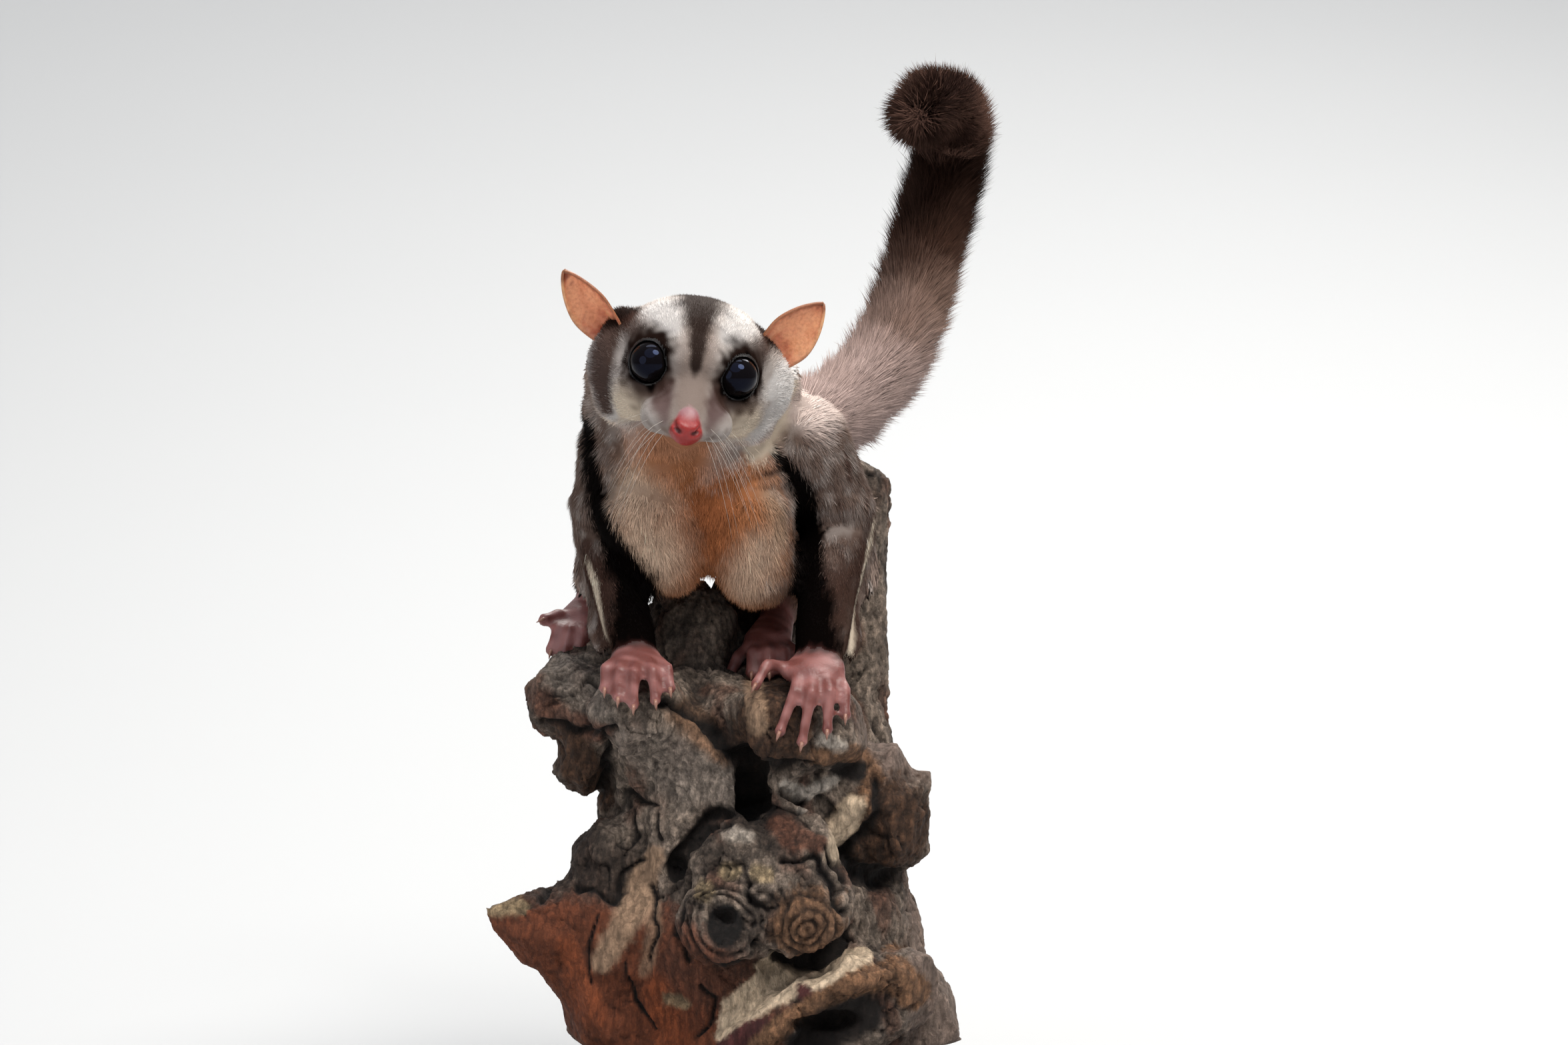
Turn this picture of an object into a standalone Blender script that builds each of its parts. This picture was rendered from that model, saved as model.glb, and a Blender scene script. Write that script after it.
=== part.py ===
"""A sugar glider crouched on a cut length of gnarled branch, life size.

The animal faces -Y and its left side is at +X. The origin is the middle of the
stand's underside, +Z is up. Shapes are worked in millimetres and every finished
mesh is brought to metres at the end.
"""

import math
import random

import bmesh
import bpy
from mathutils import Matrix, Vector, noise
from mathutils.bvhtree import BVHTree

MM = 0.001
GAP = 0.3

# Head, in its own frame: origin between the eyes, face towards -Y
HEAD_AT = Vector((-12.0, -24.0, 160.6))
HEAD_PITCH = math.radians(14.0)
HEAD_ROLL = math.radians(9.8)
HEAD_YAW = math.radians(3.0)
NOSE_REACH = 17.0
EYE_RADIUS = 4.15
EYE_SPREAD = 8.6
EYE_FORWARD = 2.6
EYE_RAISE = 0.8
EYE_OUTWARD = math.radians(33.0)
EYE_UPWARD = math.radians(8.0)
LID_RADIUS = 4.5
EAR_LENGTH = 16.0
EAR_HALF_WIDTH = 5.9
EAR_THICKNESS = 0.9
EAR_RISE = {"right": math.radians(35.0), "left": math.radians(46.0)}
EAR_SPREAD = {"right": 16.0, "left": 13.8}
EAR_TURN = {"right": 0.72, "left": 0.30}
MOUTH_WIDTH = 0.7

# Limbs
FINGER_RADIUS = 1.3
TOE_RADIUS = 1.45
CLAW_LENGTH = 1.4
MEMBRANE_THICKNESS = 1.8
HEM_THICKNESS = 2.0

# Tail
TAIL_BASE_RADIUS = 12.0
TAIL_RADIUS = 10.6
TAIL_TIP_RADIUS = 8.4
TAIL_LENGTHS = 4
TAIL_FIRST_CUT = 0.28
TAIL_CUT_STEP = 0.235
TAIL_ROWS = 8
LOCKS_FROM = 0.08
CORE_SHARE = 0.52
CORE_TRIANGLES = 300
LOCKS_A_RING = 5
LOCK_LENGTH = 23.0
LOCK_THICKNESS = 2.4
LOCK_OVERLAP = 0.92

# Branch and stand
PERCH_BOTTOM = 22.0
BARK_RELIEF = 1.7
STEM_RADIUS = 5.4
STAND_RADIUS = 54.0
STAND_THICKNESS = 8.0
STAND_CENTRE_Y = 6.0
ROD_RADIUS = 3.2
ROD_SPREAD = 17.0

FLESH_VOXEL = 0.6
FINE_VOXEL = 0.32
WOOD_VOXEL = 0.9


# Scene and objects

def clear_scene():
    for obj in list(bpy.data.objects):
        bpy.data.objects.remove(obj, do_unlink=True)


def new_collection(name):
    collection = bpy.data.collections.new(name)
    bpy.context.scene.collection.children.link(collection)
    return collection


def material(name, colour, roughness, metallic=0.0):
    made = bpy.data.materials.new(name)
    made.use_nodes = True
    shader = made.node_tree.nodes["Principled BSDF"]
    shader.inputs["Base Color"].default_value = (*colour, 1.0)
    shader.inputs["Roughness"].default_value = roughness
    shader.inputs["Metallic"].default_value = metallic
    made.diffuse_color = (*colour, 1.0)
    return made


def object_from(name, bm):
    """Turns a bmesh into an object in the workshop collection."""
    mesh = bpy.data.meshes.new(name)
    bm.to_mesh(mesh)
    bm.free()
    obj = bpy.data.objects.new(name, mesh)
    WORKSHOP.objects.link(obj)
    return obj


def applied(obj):
    """Replaces an object's mesh by what its modifiers make of it."""
    graph = bpy.context.evaluated_depsgraph_get()
    mesh = bpy.data.meshes.new_from_object(obj.evaluated_get(graph))
    obj.modifiers.clear()
    old = obj.data
    obj.data = mesh
    bpy.data.meshes.remove(old)
    return obj


def discard(*objects):
    for obj in objects:
        mesh = obj.data
        bpy.data.objects.remove(obj, do_unlink=True)
        bpy.data.meshes.remove(mesh)


def finish(obj, name, look):
    """Names a finished node, brings it to metres and gives it its material."""
    obj.name = name
    obj.data.name = name
    obj.data.transform(Matrix.Scale(MM, 4))
    obj.data.materials.clear()
    obj.data.materials.append(look)
    obj.data.shade_smooth()
    obj.data.set_sharp_from_angle(angle=math.radians(50.0))
    WORKSHOP.objects.unlink(obj)
    MODEL.objects.link(obj)
    return obj


# Clay: rounded volumes that are blended into one surface

def shape_matrix(centre, radii, turn=None):
    if not hasattr(radii, "__len__"):
        radii = (radii, radii, radii)
    turned = turn.to_4x4() if turn is not None else Matrix.Identity(4)
    return Matrix.Translation(centre) @ turned @ Matrix.Diagonal((*radii, 1.0))


def add_ball(clay, centre, radii, turn=None):
    """An egg-shaped volume."""
    place = shape_matrix(Vector(centre), radii, turn)
    bmesh.ops.create_uvsphere(clay, u_segments=28, v_segments=16, radius=1.0, matrix=place)


def add_limb(clay, start, start_radii, end, end_radii, turn=None):
    """The convex volume that two egg shapes span."""
    hull = bmesh.new()
    for centre, radii in ((start, start_radii), (end, end_radii)):
        place = shape_matrix(Vector(centre), radii, turn)
        bmesh.ops.create_icosphere(hull, subdivisions=3, radius=1.0, matrix=place)
    bmesh.ops.delete(hull, geom=hull.edges[:], context='EDGES_FACES')
    skin = bmesh.ops.convex_hull(hull, input=hull.verts[:])
    inner = [item for item in skin["geom_interior"] if isinstance(item, bmesh.types.BMVert)]
    bmesh.ops.delete(hull, geom=inner, context='VERTS')
    mesh = bpy.data.meshes.new("hull")
    hull.to_mesh(mesh)
    hull.free()
    clay.from_mesh(mesh)
    bpy.data.meshes.remove(mesh)


def add_chain(clay, points, turn=None):
    """A run of limbs through (centre, radii) pairs."""
    for (start, start_radii), (end, end_radii) in zip(points, points[1:]):
        add_limb(clay, start, start_radii, end, end_radii, turn)


def add_ring(clay, centre, facing, ring_radius, tube_radius, sides=20):
    """A round rim about an opening that faces one way."""
    turn = facing.to_track_quat('Z', 'Y').to_matrix()
    previous = None
    first = None
    for step in range(sides):
        angle = math.tau * step / sides
        spot = centre + turn @ Vector((math.cos(angle), math.sin(angle), 0.0)) * ring_radius
        if previous is not None:
            add_limb(clay, previous, tube_radius, spot, tube_radius)
        else:
            first = spot
        previous = spot
    add_limb(clay, previous, tube_radius, first, tube_radius)


def blended(name, clay, voxel, rounds, factor=0.5):
    """Fuses the clay's volumes into one closed surface and softens it."""
    obj = object_from(name, clay)
    raw = obj.data
    for step in range(8):
        obj.data = raw.copy()
        fuse = obj.modifiers.new("Fuse", 'REMESH')
        fuse.mode = 'VOXEL'
        fuse.voxel_size = voxel * (1.0 - 0.02 * step)
        if rounds:
            soften = obj.modifiers.new("Soften", 'SMOOTH')
            soften.factor = factor
            soften.iterations = rounds
        kept_largest(applied(obj))
        if is_closed(obj.data):
            break
    bpy.data.meshes.remove(raw)
    return obj


def is_closed(mesh):
    bm = bmesh.new()
    bm.from_mesh(mesh)
    sound = all(edge.is_manifold and edge.is_contiguous for edge in bm.edges)
    sound = sound and all(vert.is_manifold for vert in bm.verts)
    bm.free()
    return sound


def decimated(obj, triangles):
    """Thins a closed surface to about the given number of triangles, still closed."""
    obj.modifiers.new("Split", 'TRIANGULATE')
    mended(applied(obj))
    full = obj.data
    for step in range(12):
        obj.data = full.copy()
        thin = obj.modifiers.new("Thin", 'DECIMATE')
        thin.ratio = min(1.0, triangles * (1.0 + 0.03 * step) / len(full.polygons))
        thin.use_collapse_triangulate = True
        applied(obj)
        if is_closed(obj.data):
            break
    bpy.data.meshes.remove(full)
    return obj


def islands(bm):
    """The faces of each connected surface, largest first."""
    left = set(bm.faces)
    found = []
    while left:
        seed = left.pop()
        island = [seed]
        stack = [seed]
        while stack:
            face = stack.pop()
            for edge in face.edges:
                for other in edge.link_faces:
                    if other in left:
                        left.remove(other)
                        island.append(other)
                        stack.append(other)
        found.append(island)
    return sorted(found, key=lambda faces: -sum(face.calc_area() for face in faces))


def kept_largest(obj):
    """Drops every surface but the largest."""
    bm = bmesh.new()
    bm.from_mesh(obj.data)
    scraps = [face for island in islands(bm)[1:] for face in island]
    if scraps:
        bmesh.ops.delete(bm, geom=scraps, context='FACES')
        bm.to_mesh(obj.data)
    bm.free()
    return obj


def copied(obj, name):
    twin = bpy.data.objects.new(name, obj.data.copy())
    WORKSHOP.objects.link(twin)
    return twin


def swollen(obj, amount=GAP):
    """A copy whose surface stands a little proud, to cut room for the original."""
    bm = bmesh.new()
    bm.from_mesh(obj.data)
    bmesh.ops.triangulate(bm, faces=bm.faces[:])
    bm.normal_update()
    shifts = [vert.normal * amount * min(vert.calc_shell_factor(), 1.6) for vert in bm.verts]
    for vert, shift in zip(bm.verts, shifts):
        vert.co += shift
    return object_from(obj.name + "_swollen", bm)


def mended(obj):
    """Merges the slivers that a cut leaves, by the least distance that closes the surface."""
    if is_closed(obj.data):
        return obj
    for distance in (0.002, 0.005, 0.01, 0.02, 0.04, 0.08):
        bm = bmesh.new()
        bm.from_mesh(obj.data)
        bmesh.ops.remove_doubles(bm, verts=bm.verts[:], dist=distance)
        bmesh.ops.dissolve_degenerate(bm, edges=bm.edges[:], dist=distance)
        flaps = [edge for edge in bm.edges if len(edge.link_faces) > 2]
        bmesh.ops.delete(bm, geom=[face for edge in flaps for face in edge.link_faces
                                   if face.calc_area() < distance], context='FACES')
        loose = [vert for vert in bm.verts if not vert.link_faces]
        bmesh.ops.delete(bm, geom=loose, context='VERTS')
        mesh = bpy.data.meshes.new("mended")
        bm.to_mesh(mesh)
        bm.free()
        if is_closed(mesh):
            obj.data = mesh
            return obj
    return obj


def boolean(obj, tool, operation, solver='MANIFOLD'):
    mended(obj)
    mended(tool)
    cut = obj.modifiers.new("Cut", 'BOOLEAN')
    cut.operation = operation
    cut.object = tool
    cut.solver = solver
    return mended(applied(obj))


def seated(obj, carriers, amount=GAP):
    """Cuts a piece back so that it meets its neighbours face to face."""
    for carrier in carriers:
        tool = swollen(carrier, amount)
        boolean(obj, tool, 'DIFFERENCE')
        discard(tool)
    return kept_largest(obj)


def parted(obj, point, normal, reach, names):
    """Splits a piece by a thin disc and returns the part behind and the part ahead."""
    disc = bmesh.new()
    turn = Vector(normal).to_track_quat('Z', 'Y').to_matrix().to_4x4()
    place = Matrix.Translation(point) @ turn
    bmesh.ops.create_cone(disc, cap_ends=True, segments=24, radius1=reach, radius2=reach,
                          depth=GAP, matrix=place)
    tool = object_from("disc", disc)
    boolean(obj, tool, 'DIFFERENCE')
    discard(tool)
    ahead = copied(obj, names[1])
    obj.name = names[0]
    for piece, side in ((obj, -1.0), (ahead, 1.0)):
        bm = bmesh.new()
        bm.from_mesh(piece.data)
        away = []
        for island in islands(bm):
            nearest = min(island, key=lambda face: (face.calc_center_median() - point).length)
            offset = (nearest.calc_center_median() - Vector(point)).dot(Vector(normal))
            if offset * side < 0.0:
                away.extend(island)
        bmesh.ops.delete(bm, geom=away, context='FACES')
        bm.to_mesh(piece.data)
        bm.free()
        kept_largest(piece)
    return obj, ahead


def surface_tree(obj):
    bm = bmesh.new()
    bm.from_mesh(obj.data)
    tree = BVHTree.FromBMesh(bm)
    bm.free()
    return tree


# Head

HEAD_TURN = (Matrix.Rotation(HEAD_YAW, 3, 'Z') @ Matrix.Rotation(HEAD_ROLL, 3, 'Y')
             @ Matrix.Rotation(HEAD_PITCH, 3, 'X'))
SIDES = (("right", -1.0), ("left", 1.0))


def head_point(x, y, z):
    return HEAD_AT + HEAD_TURN @ Vector((x, y, z))


def eye_centre(side):
    return head_point(side * EYE_SPREAD, -EYE_FORWARD, EYE_RAISE)


def eye_facing(side):
    ahead = Vector((side * math.sin(EYE_OUTWARD), -math.cos(EYE_OUTWARD), math.sin(EYE_UPWARD)))
    return HEAD_TURN @ ahead.normalized()


def add_head(clay):
    """Broad skull, short tapering muzzle, full cheeks and a small lower jaw."""
    add_ball(clay, head_point(0, 8.0, 1.5), (15.6, 14.5, 11.2), HEAD_TURN)
    add_ball(clay, head_point(0, 0.5, 3.2), (9.6, 9.2, 6.4), HEAD_TURN)
    add_chain(clay, (
        (head_point(0, -2.0, -3.6), 7.6),
        (head_point(0, -9.6, -6.4), 5.4),
        (head_point(0, -15.4, -8.2), 3.2),
    ))
    for name, side in SIDES:
        add_ball(clay, head_point(side * 9.6, 4.0, -6.2), (7.0, 9.6, 7.6), HEAD_TURN)
        add_ball(clay, head_point(side * 3.4, -11.4, -8.0), (3.2, 4.4, 3.0), HEAD_TURN)
        add_ball(clay, head_point(side * 5.6, -8.8, -7.8), (4.2, 5.0, 4.0), HEAD_TURN)
        add_ball(clay, head_point(side * (EAR_SPREAD[name] - 0.6), 12.5, 2.6), (3.6, 4.2, 5.0), HEAD_TURN)
        add_ball(clay, head_point(side * 8.8, 1.6, 0.0), (5.6, 4.6, 5.4), HEAD_TURN)
    add_chain(clay, (
        (head_point(0, -11.8, -10.9), 2.3),
        (head_point(0, -4.6, -10.6), 5.0),
        (head_point(0, 6.0, -8.4), 8.2),
    ))


def add_face(clay):
    """Lids round the eyes and the bare nose pad."""
    for _, side in SIDES:
        rim = eye_centre(side) + eye_facing(side) * 0.9
        add_ring(clay, rim, eye_facing(side), LID_RADIUS, 0.85)
    add_limb(clay, head_point(-1.3, -NOSE_REACH, -7.6), (1.8, 2.0, 2.1),
             head_point(1.3, -NOSE_REACH, -7.6), (1.8, 2.0, 2.1), HEAD_TURN)
    add_ball(clay, head_point(0, 0.3 - NOSE_REACH, -9.2), (1.7, 1.8, 1.6), HEAD_TURN)


def surface_tube(tree, points, radius):
    """A tube that follows points drawn onto a surface."""
    clay = bmesh.new()
    on_surface = [tree.find_nearest(point)[0] for point in points]
    for start, end in zip(on_surface, on_surface[1:]):
        add_limb(clay, start, radius, end, radius)
    return clay


def cut_mouth(head):
    """The line of the mouth, with the split of the upper lip below the nose."""
    tree = surface_tree(head)
    line = []
    for step in range(-8, 9):
        along = step / 8.0
        back = abs(along) ** 1.5
        line.append(head_point(along * 6.2, 1.7 - NOSE_REACH + 12.0 * back, -10.7 - 0.4 * math.cos(along * 3.0)))
    groove = decimated(blended("mouth", surface_tube(tree, line, MOUTH_WIDTH / 2.0), 0.2, 0), 150)
    boolean(head, groove, 'DIFFERENCE')
    discard(groove)
    lip = surface_tube(tree, [head_point(0, -2.1 - NOSE_REACH, -9.5), head_point(0, 0.7 - NOSE_REACH, -10.7)], 0.28)
    split = decimated(blended("lip", lip, 0.15, 0), 40)
    boolean(head, split, 'DIFFERENCE')
    discard(split)


def cut_nostrils(head):
    for _, side in SIDES:
        clay = bmesh.new()
        place = shape_matrix(head_point(side * 1.8, -1.6 - NOSE_REACH, -7.9), (0.6, 1.0, 0.55),
                             HEAD_TURN @ Matrix.Rotation(side * 0.5, 3, 'Z'))
        bmesh.ops.create_uvsphere(clay, u_segments=8, v_segments=6, radius=1.0, matrix=place)
        hole = object_from("nostril", clay)
        boolean(head, hole, 'DIFFERENCE')
        discard(hole)


def eyeball(side, radius, segments=14, rings=8):
    ball = bmesh.new()
    facing = eye_facing(side).to_track_quat('Z', 'Y').to_matrix()
    place = shape_matrix(eye_centre(side), radius, facing)
    bmesh.ops.create_uvsphere(ball, u_segments=segments, v_segments=rings, radius=1.0, matrix=place)
    return object_from("eye", ball)


def ear(name, side):
    """A thin leaf-shaped cup with rolled edges, its root sunk in the head."""
    root = Vector((side * EAR_SPREAD[name], 12.4, 1.6))
    along = Vector((side * math.cos(EAR_RISE[name]), 0.06, math.sin(EAR_RISE[name]))).normalized()
    front = Vector((side * EAR_TURN[name], -0.95, 0.10))
    front = (front - along * front.dot(along)).normalized()
    across = along.cross(front)
    columns = 6
    rows = 9
    bm = bmesh.new()
    bmesh.ops.create_grid(bm, x_segments=columns, y_segments=rows, size=1.0)
    for vert in bm.verts:
        v = vert.co.x
        u = (vert.co.y + 1.0) / 2.0
        width = EAR_HALF_WIDTH * (0.55 + 0.45 * math.sin(min(u * 1.75, 1.0) * math.pi / 2.0))
        width *= max(1.0 - (max(u - 0.40, 0.0) / 0.60) ** 2.2, 0.002) ** 0.66
        cup = (2.6 - 2.0 * u) * v * v + 0.5 * math.sin(u * math.pi)
        upward = -side * 1.6 * u * u
        spot = (root + along * (u * (EAR_LENGTH + 1.5) - 1.5) + across * (width * v + upward)
                + front * cup)
        vert.co = HEAD_AT + HEAD_TURN @ spot
    bmesh.ops.triangulate(bm, faces=bm.faces[:])
    obj = object_from("ear", bm)
    wall = obj.modifiers.new("Wall", 'SOLIDIFY')
    wall.thickness = EAR_THICKNESS
    wall.offset = 0.0
    return outward(applied(obj))


def outward(obj):
    """Points every face of a closed shape outwards."""
    bm = bmesh.new()
    bm.from_mesh(obj.data)
    bmesh.ops.recalc_face_normals(bm, faces=bm.faces[:])
    if bm.calc_volume(signed=True) < 0.0:
        bmesh.ops.reverse_faces(bm, faces=bm.faces[:])
    bm.to_mesh(obj.data)
    bm.free()
    return obj


# Neck and torso

def add_neck(clay):
    """A short thick neck with the ruff of fur behind the cheeks."""
    add_limb(clay, head_point(0, 12.0, -3.0), (14.0, 12.0, 11.0), (-13.0, 2.0, 150.0), (19.0, 13.0, 12.0))
    for x, width in ((-24.0, 11.5), (-2.0, 11.0)):
        add_ball(clay, (x, -1.5, 151.0), (width, 10.0, 10.0))
    add_ball(clay, (-26.5, -3.0, 157.5), (8.4, 8.5, 8.8))
    add_ball(clay, (2.2, -2.0, 156.5), (7.8, 8.5, 8.6))
    add_ball(clay, (-12.5, -9.0, 146.0), (15.0, 9.5, 8.0))
    for _, side in SIDES:
        add_ball(clay, head_point(side * 15.0, 10.5, -4.5), (6.6, 7.5, 8.5), HEAD_TURN)
        add_ball(clay, head_point(side * 12.5, 8.0, -11.0), (6.6, 7.0, 6.0), HEAD_TURN)


def torso():
    clay = bmesh.new()
    add_limb(clay, (-12.5, 5.0, 146.5), (19.0, 13.0, 13.5), (-9.0, 18.0, 142.0), (22.0, 14.0, 16.0))
    add_ball(clay, (-11.5, -3.0, 140.0), (20.0, 14.0, 13.0))
    add_chain(clay, (((-10.0, 10.0, 139.0), (24.0, 22.0, 20.0)), ((-5.0, 25.0, 138.0), (24.5, 21.0, 20.5)),
                     ((-2.0, 42.0, 133.5), (19.5, 22.0, 20.5)), ((1.5, 55.0, 133.0), (15.0, 18.0, 17.5))))
    add_ball(clay, (-11.5, -6.0, 131.0), (15.0, 10.5, 12.0))
    add_limb(clay, (-20.4, -5.0, 130.0), (11.4, 12.4, 10.5), (-16.6, -6.0, 121.4), (7.6, 9.6, 8.2))
    add_limb(clay, (-3.2, -5.0, 130.0), (11.8, 12.4, 10.5), (0.2, -6.0, 119.6), (8.8, 9.8, 8.8))
    body = blended("torso", clay, FLESH_VOXEL, 14)
    return body


# Limbs, each given by the centres and half-thicknesses along it

FORELEGS = {
    "right": {
        "arm": (((-27.0, 2.0, 143.0), (9.5, 11.0, 11.0)), ((-30.0, 4.0, 133.0), (7.6, 9.5, 8.0)),
                ((-30.0, 4.5, 125.5), (6.9, 8.2, 7.0)), ((-26.8, -6.0, 114.5), (6.0, 6.4, 6.0)),
                ((-24.2, -14.5, 104.8), (5.2, 5.0, 4.6))),
        "palm": (((-24.0, -16.0, 103.4), (5.0, 4.4, 3.2)), ((-23.4, -20.8, 101.4), (5.8, 3.7, 2.7))),
        "digits": (
            ((-27.5, -20.8, 102.1), (-29.6, -24.2, 100.9), (-29.7, -26.1, 97.1)),
            ((-25.6, -22.5, 102.3), (-26.8, -26.3, 100.6), (-27.0, -28.0, 95.5)),
            ((-23.3, -23.0, 102.3), (-23.8, -27.2, 100.4), (-23.9, -28.7, 94.1)),
            ((-21.2, -22.5, 102.3), (-20.2, -26.5, 100.6), (-19.6, -28.0, 95.0)),
            ((-19.1, -20.7, 102.0), (-17.2, -24.4, 100.9), (-16.7, -26.1, 97.1)),
        ),
    },
    "left": {
        "arm": (((9.5, 3.0, 142.5), (11.0, 12.0, 12.0)), ((15.4, 5.0, 133.0), (8.8, 10.0, 8.6)),
                ((16.4, 5.5, 126.0), (8.3, 8.8, 7.6)), ((14.4, -5.5, 114.0), (6.4, 6.8, 6.2)),
                ((13.2, -14.5, 103.6), (5.6, 5.2, 4.8))),
        "palm": (((13.0, -16.0, 102.0), (5.4, 4.4, 3.4)), ((11.8, -21.5, 99.6), (6.8, 3.8, 2.8))),
        "digits": (
            ((7.4, -20.0, 100.6), (2.6, -23.6, 101.6), (0.4, -26.4, 97.8)),
            ((9.0, -22.6, 100.2), (8.2, -27.0, 96.6), (5.2, -29.4, 88.8)),
            ((11.6, -23.4, 99.6), (11.4, -28.0, 96.4), (9.6, -30.2, 86.8)),
            ((14.4, -22.8, 99.2), (15.0, -27.2, 96.6), (14.6, -29.4, 89.2)),
            ((16.6, -20.6, 98.8), (18.2, -24.6, 96.8), (18.2, -26.8, 91.8)),
        ),
    },
}
HINDLEGS = {
    "right": {
        "leg": (((-15.5, 46.0, 129.0), (11.0, 15.0, 13.0)), ((-25.5, 25.0, 123.5), (8.6, 9.4, 9.6)),
                ((-30.5, 31.0, 114.0), (5.4, 6.0, 6.0)), ((-33.4, 32.0, 108.8), (4.2, 4.8, 4.2))),
        "palm": (((-34.2, 30.0, 107.4), (4.2, 4.6, 3.8)), ((-35.4, 21.6, 105.4), (6.0, 5.2, 4.0))),
        "digits": (
            ((-37.6, 22.0, 106.0), (-40.4, 18.6, 107.2), (-43.2, 16.4, 106.4)),
            ((-37.6, 19.0, 105.4), (-40.4, 15.0, 104.6), (-41.6, 12.6, 100.6)),
            ((-36.0, 18.2, 105.2), (-38.0, 14.0, 104.4), (-39.2, 11.4, 99.4)),
            ((-34.2, 18.4, 105.0), (-35.2, 14.2, 104.2), (-36.2, 11.6, 98.8)),
            ((-32.6, 19.4, 104.6), (-32.4, 15.6, 103.8), (-33.2, 12.8, 99.0)),
        ),
    },
    "left": {
        "leg": (((8.5, 46.0, 127.0), (9.5, 14.0, 13.0)), ((10.5, 26.0, 120.5), (8.6, 9.0, 9.4)),
                ((7.4, 24.5, 111.4), (5.2, 5.8, 5.6)), ((4.6, 21.0, 106.6), (4.2, 4.6, 4.2))),
        "palm": (((4.2, 17.6, 105.2), (4.0, 4.6, 3.6)), ((2.6, 9.6, 102.6), (5.2, 4.8, 3.8))),
        "digits": (
            ((0.4, 10.6, 102.4), (-3.2, 7.2, 100.0), (-5.4, 4.6, 95.6)),
            ((1.0, 7.4, 102.4), (-0.4, 3.0, 101.0), (-0.6, 0.6, 97.2)),
            ((2.8, 6.8, 102.4), (2.8, 2.0, 101.2), (3.0, -0.6, 97.4)),
            ((4.8, 7.0, 102.2), (6.0, 2.4, 101.0), (6.4, 0.2, 97.4)),
            ((6.4, 8.6, 102.0), (8.8, 5.0, 100.8), (9.6, 3.2, 97.8)),
        ),
    },
}


def add_digit(clay, radius, root, knuckle, tip):
    """A toe in two bones with a round pad and a small hooked claw."""
    root, knuckle, tip = Vector(root), Vector(knuckle), Vector(tip)
    add_limb(clay, root, radius * 1.05, knuckle, radius * 1.08)
    add_limb(clay, knuckle, radius * 1.08, tip, radius * 0.92)
    add_ball(clay, tip, radius * 1.16)
    reach = (tip - knuckle).normalized()
    hook = (reach + Vector((0.0, -0.35, -0.25))).normalized()
    add_limb(clay, tip + reach * 0.3, 0.62, tip + hook * (radius + CLAW_LENGTH * 0.55), 0.3)


def limb(name, segments, palm, digits, digit_radius):
    """One whole leg with its hand or foot, in one blended surface."""
    clay = bmesh.new()
    add_chain(clay, segments)
    rough = blended(name + "_mass", clay, FLESH_VOXEL, 6)
    fine = bmesh.new()
    fine.from_mesh(rough.data)
    discard(rough)
    add_chain(fine, palm)
    for digit in digits:
        add_digit(fine, digit_radius, *digit)
    return blended(name, fine, FINE_VOXEL, 3, 0.4)


# Gliding membrane, a loose fold from wrist along the flank to ankle

MEMBRANES = {
    "right": (((-30.0, -12.0, 104.5), (-31.0, -11.0, 102.6)), ((-32.6, -3.0, 114.0), (-33.4, -2.0, 109.8)),
              ((-34.6, 7.0, 124.0), (-35.2, 8.0, 115.4)), ((-33.6, 14.0, 131.0), (-35.8, 15.0, 117.8)),
              ((-30.4, 23.0, 131.0), (-35.4, 22.5, 118.0)), ((-31.0, 31.0, 124.0), (-36.0, 28.0, 115.4)),
              ((-33.4, 35.0, 116.0), (-36.0, 33.0, 110.8))),
    "left": (((19.0, -11.5, 103.0), (19.6, -10.5, 101.4)), ((20.2, -2.5, 113.0), (21.0, -1.5, 108.8)),
             ((22.8, 7.5, 124.0), (23.4, 8.5, 115.4)), ((22.2, 14.0, 131.0), (24.0, 14.5, 117.6)),
             ((18.0, 23.0, 130.0), (21.4, 22.0, 117.8)), ((15.8, 29.0, 123.0), (18.2, 27.0, 114.0)),
             ((14.2, 30.0, 115.0), (14.6, 27.5, 109.6))),
}


def smooth_path(points, steps):
    """Points along a smooth curve through the given ones."""
    points = [Vector(point) for point in points]
    ends = [points[0] * 2 - points[1]] + points + [points[-1] * 2 - points[-2]]
    path = []
    for a, b, c, d in zip(ends, ends[1:], ends[2:], ends[3:]):
        for step in range(steps):
            t = step / steps
            path.append(0.5 * (2 * b + (c - a) * t + (2 * a - 5 * b + 4 * c - d) * t ** 2
                               + (3 * b - a - 3 * c + d) * t ** 3))
    path.append(points[-1])
    return path


def membrane(side_name, side):
    """A loose sheet hung between arm, flank and thigh, thicker at its wavy free edge."""
    clay = bmesh.new()
    upper = smooth_path([pair[0] for pair in MEMBRANES[side_name]], 6)
    lower = smooth_path([pair[1] for pair in MEMBRANES[side_name]], 6)
    hem = []
    for step, (top, bottom) in enumerate(zip(upper, lower)):
        along = step / (len(upper) - 1)
        wave = Vector((side * 0.9 * math.sin(along * math.tau * 3.5), 0.0, 0.0))
        add_limb(clay, top, MEMBRANE_THICKNESS / 2.0, bottom + wave, MEMBRANE_THICKNESS / 2.0)
        hem.append((bottom + wave, HEM_THICKNESS / 2.0))
    add_chain(clay, hem)
    return blended("membrane", clay, 0.45, 4)


# Tail

TAIL_POINTS = ((3.0, 56.0, 137.0), (11.0, 67.0, 142.4), (18.5, 79.0, 146.0), (27.5, 92.0, 154.5),
               (33.5, 104.0, 166.8), (37.5, 111.5, 180.3), (40.8, 113.5, 192.5), (42.8, 108.0, 202.6),
               (41.6, 96.0, 208.8), (38.0, 83.0, 210.4), (35.2, 72.0, 208.6))


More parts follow.
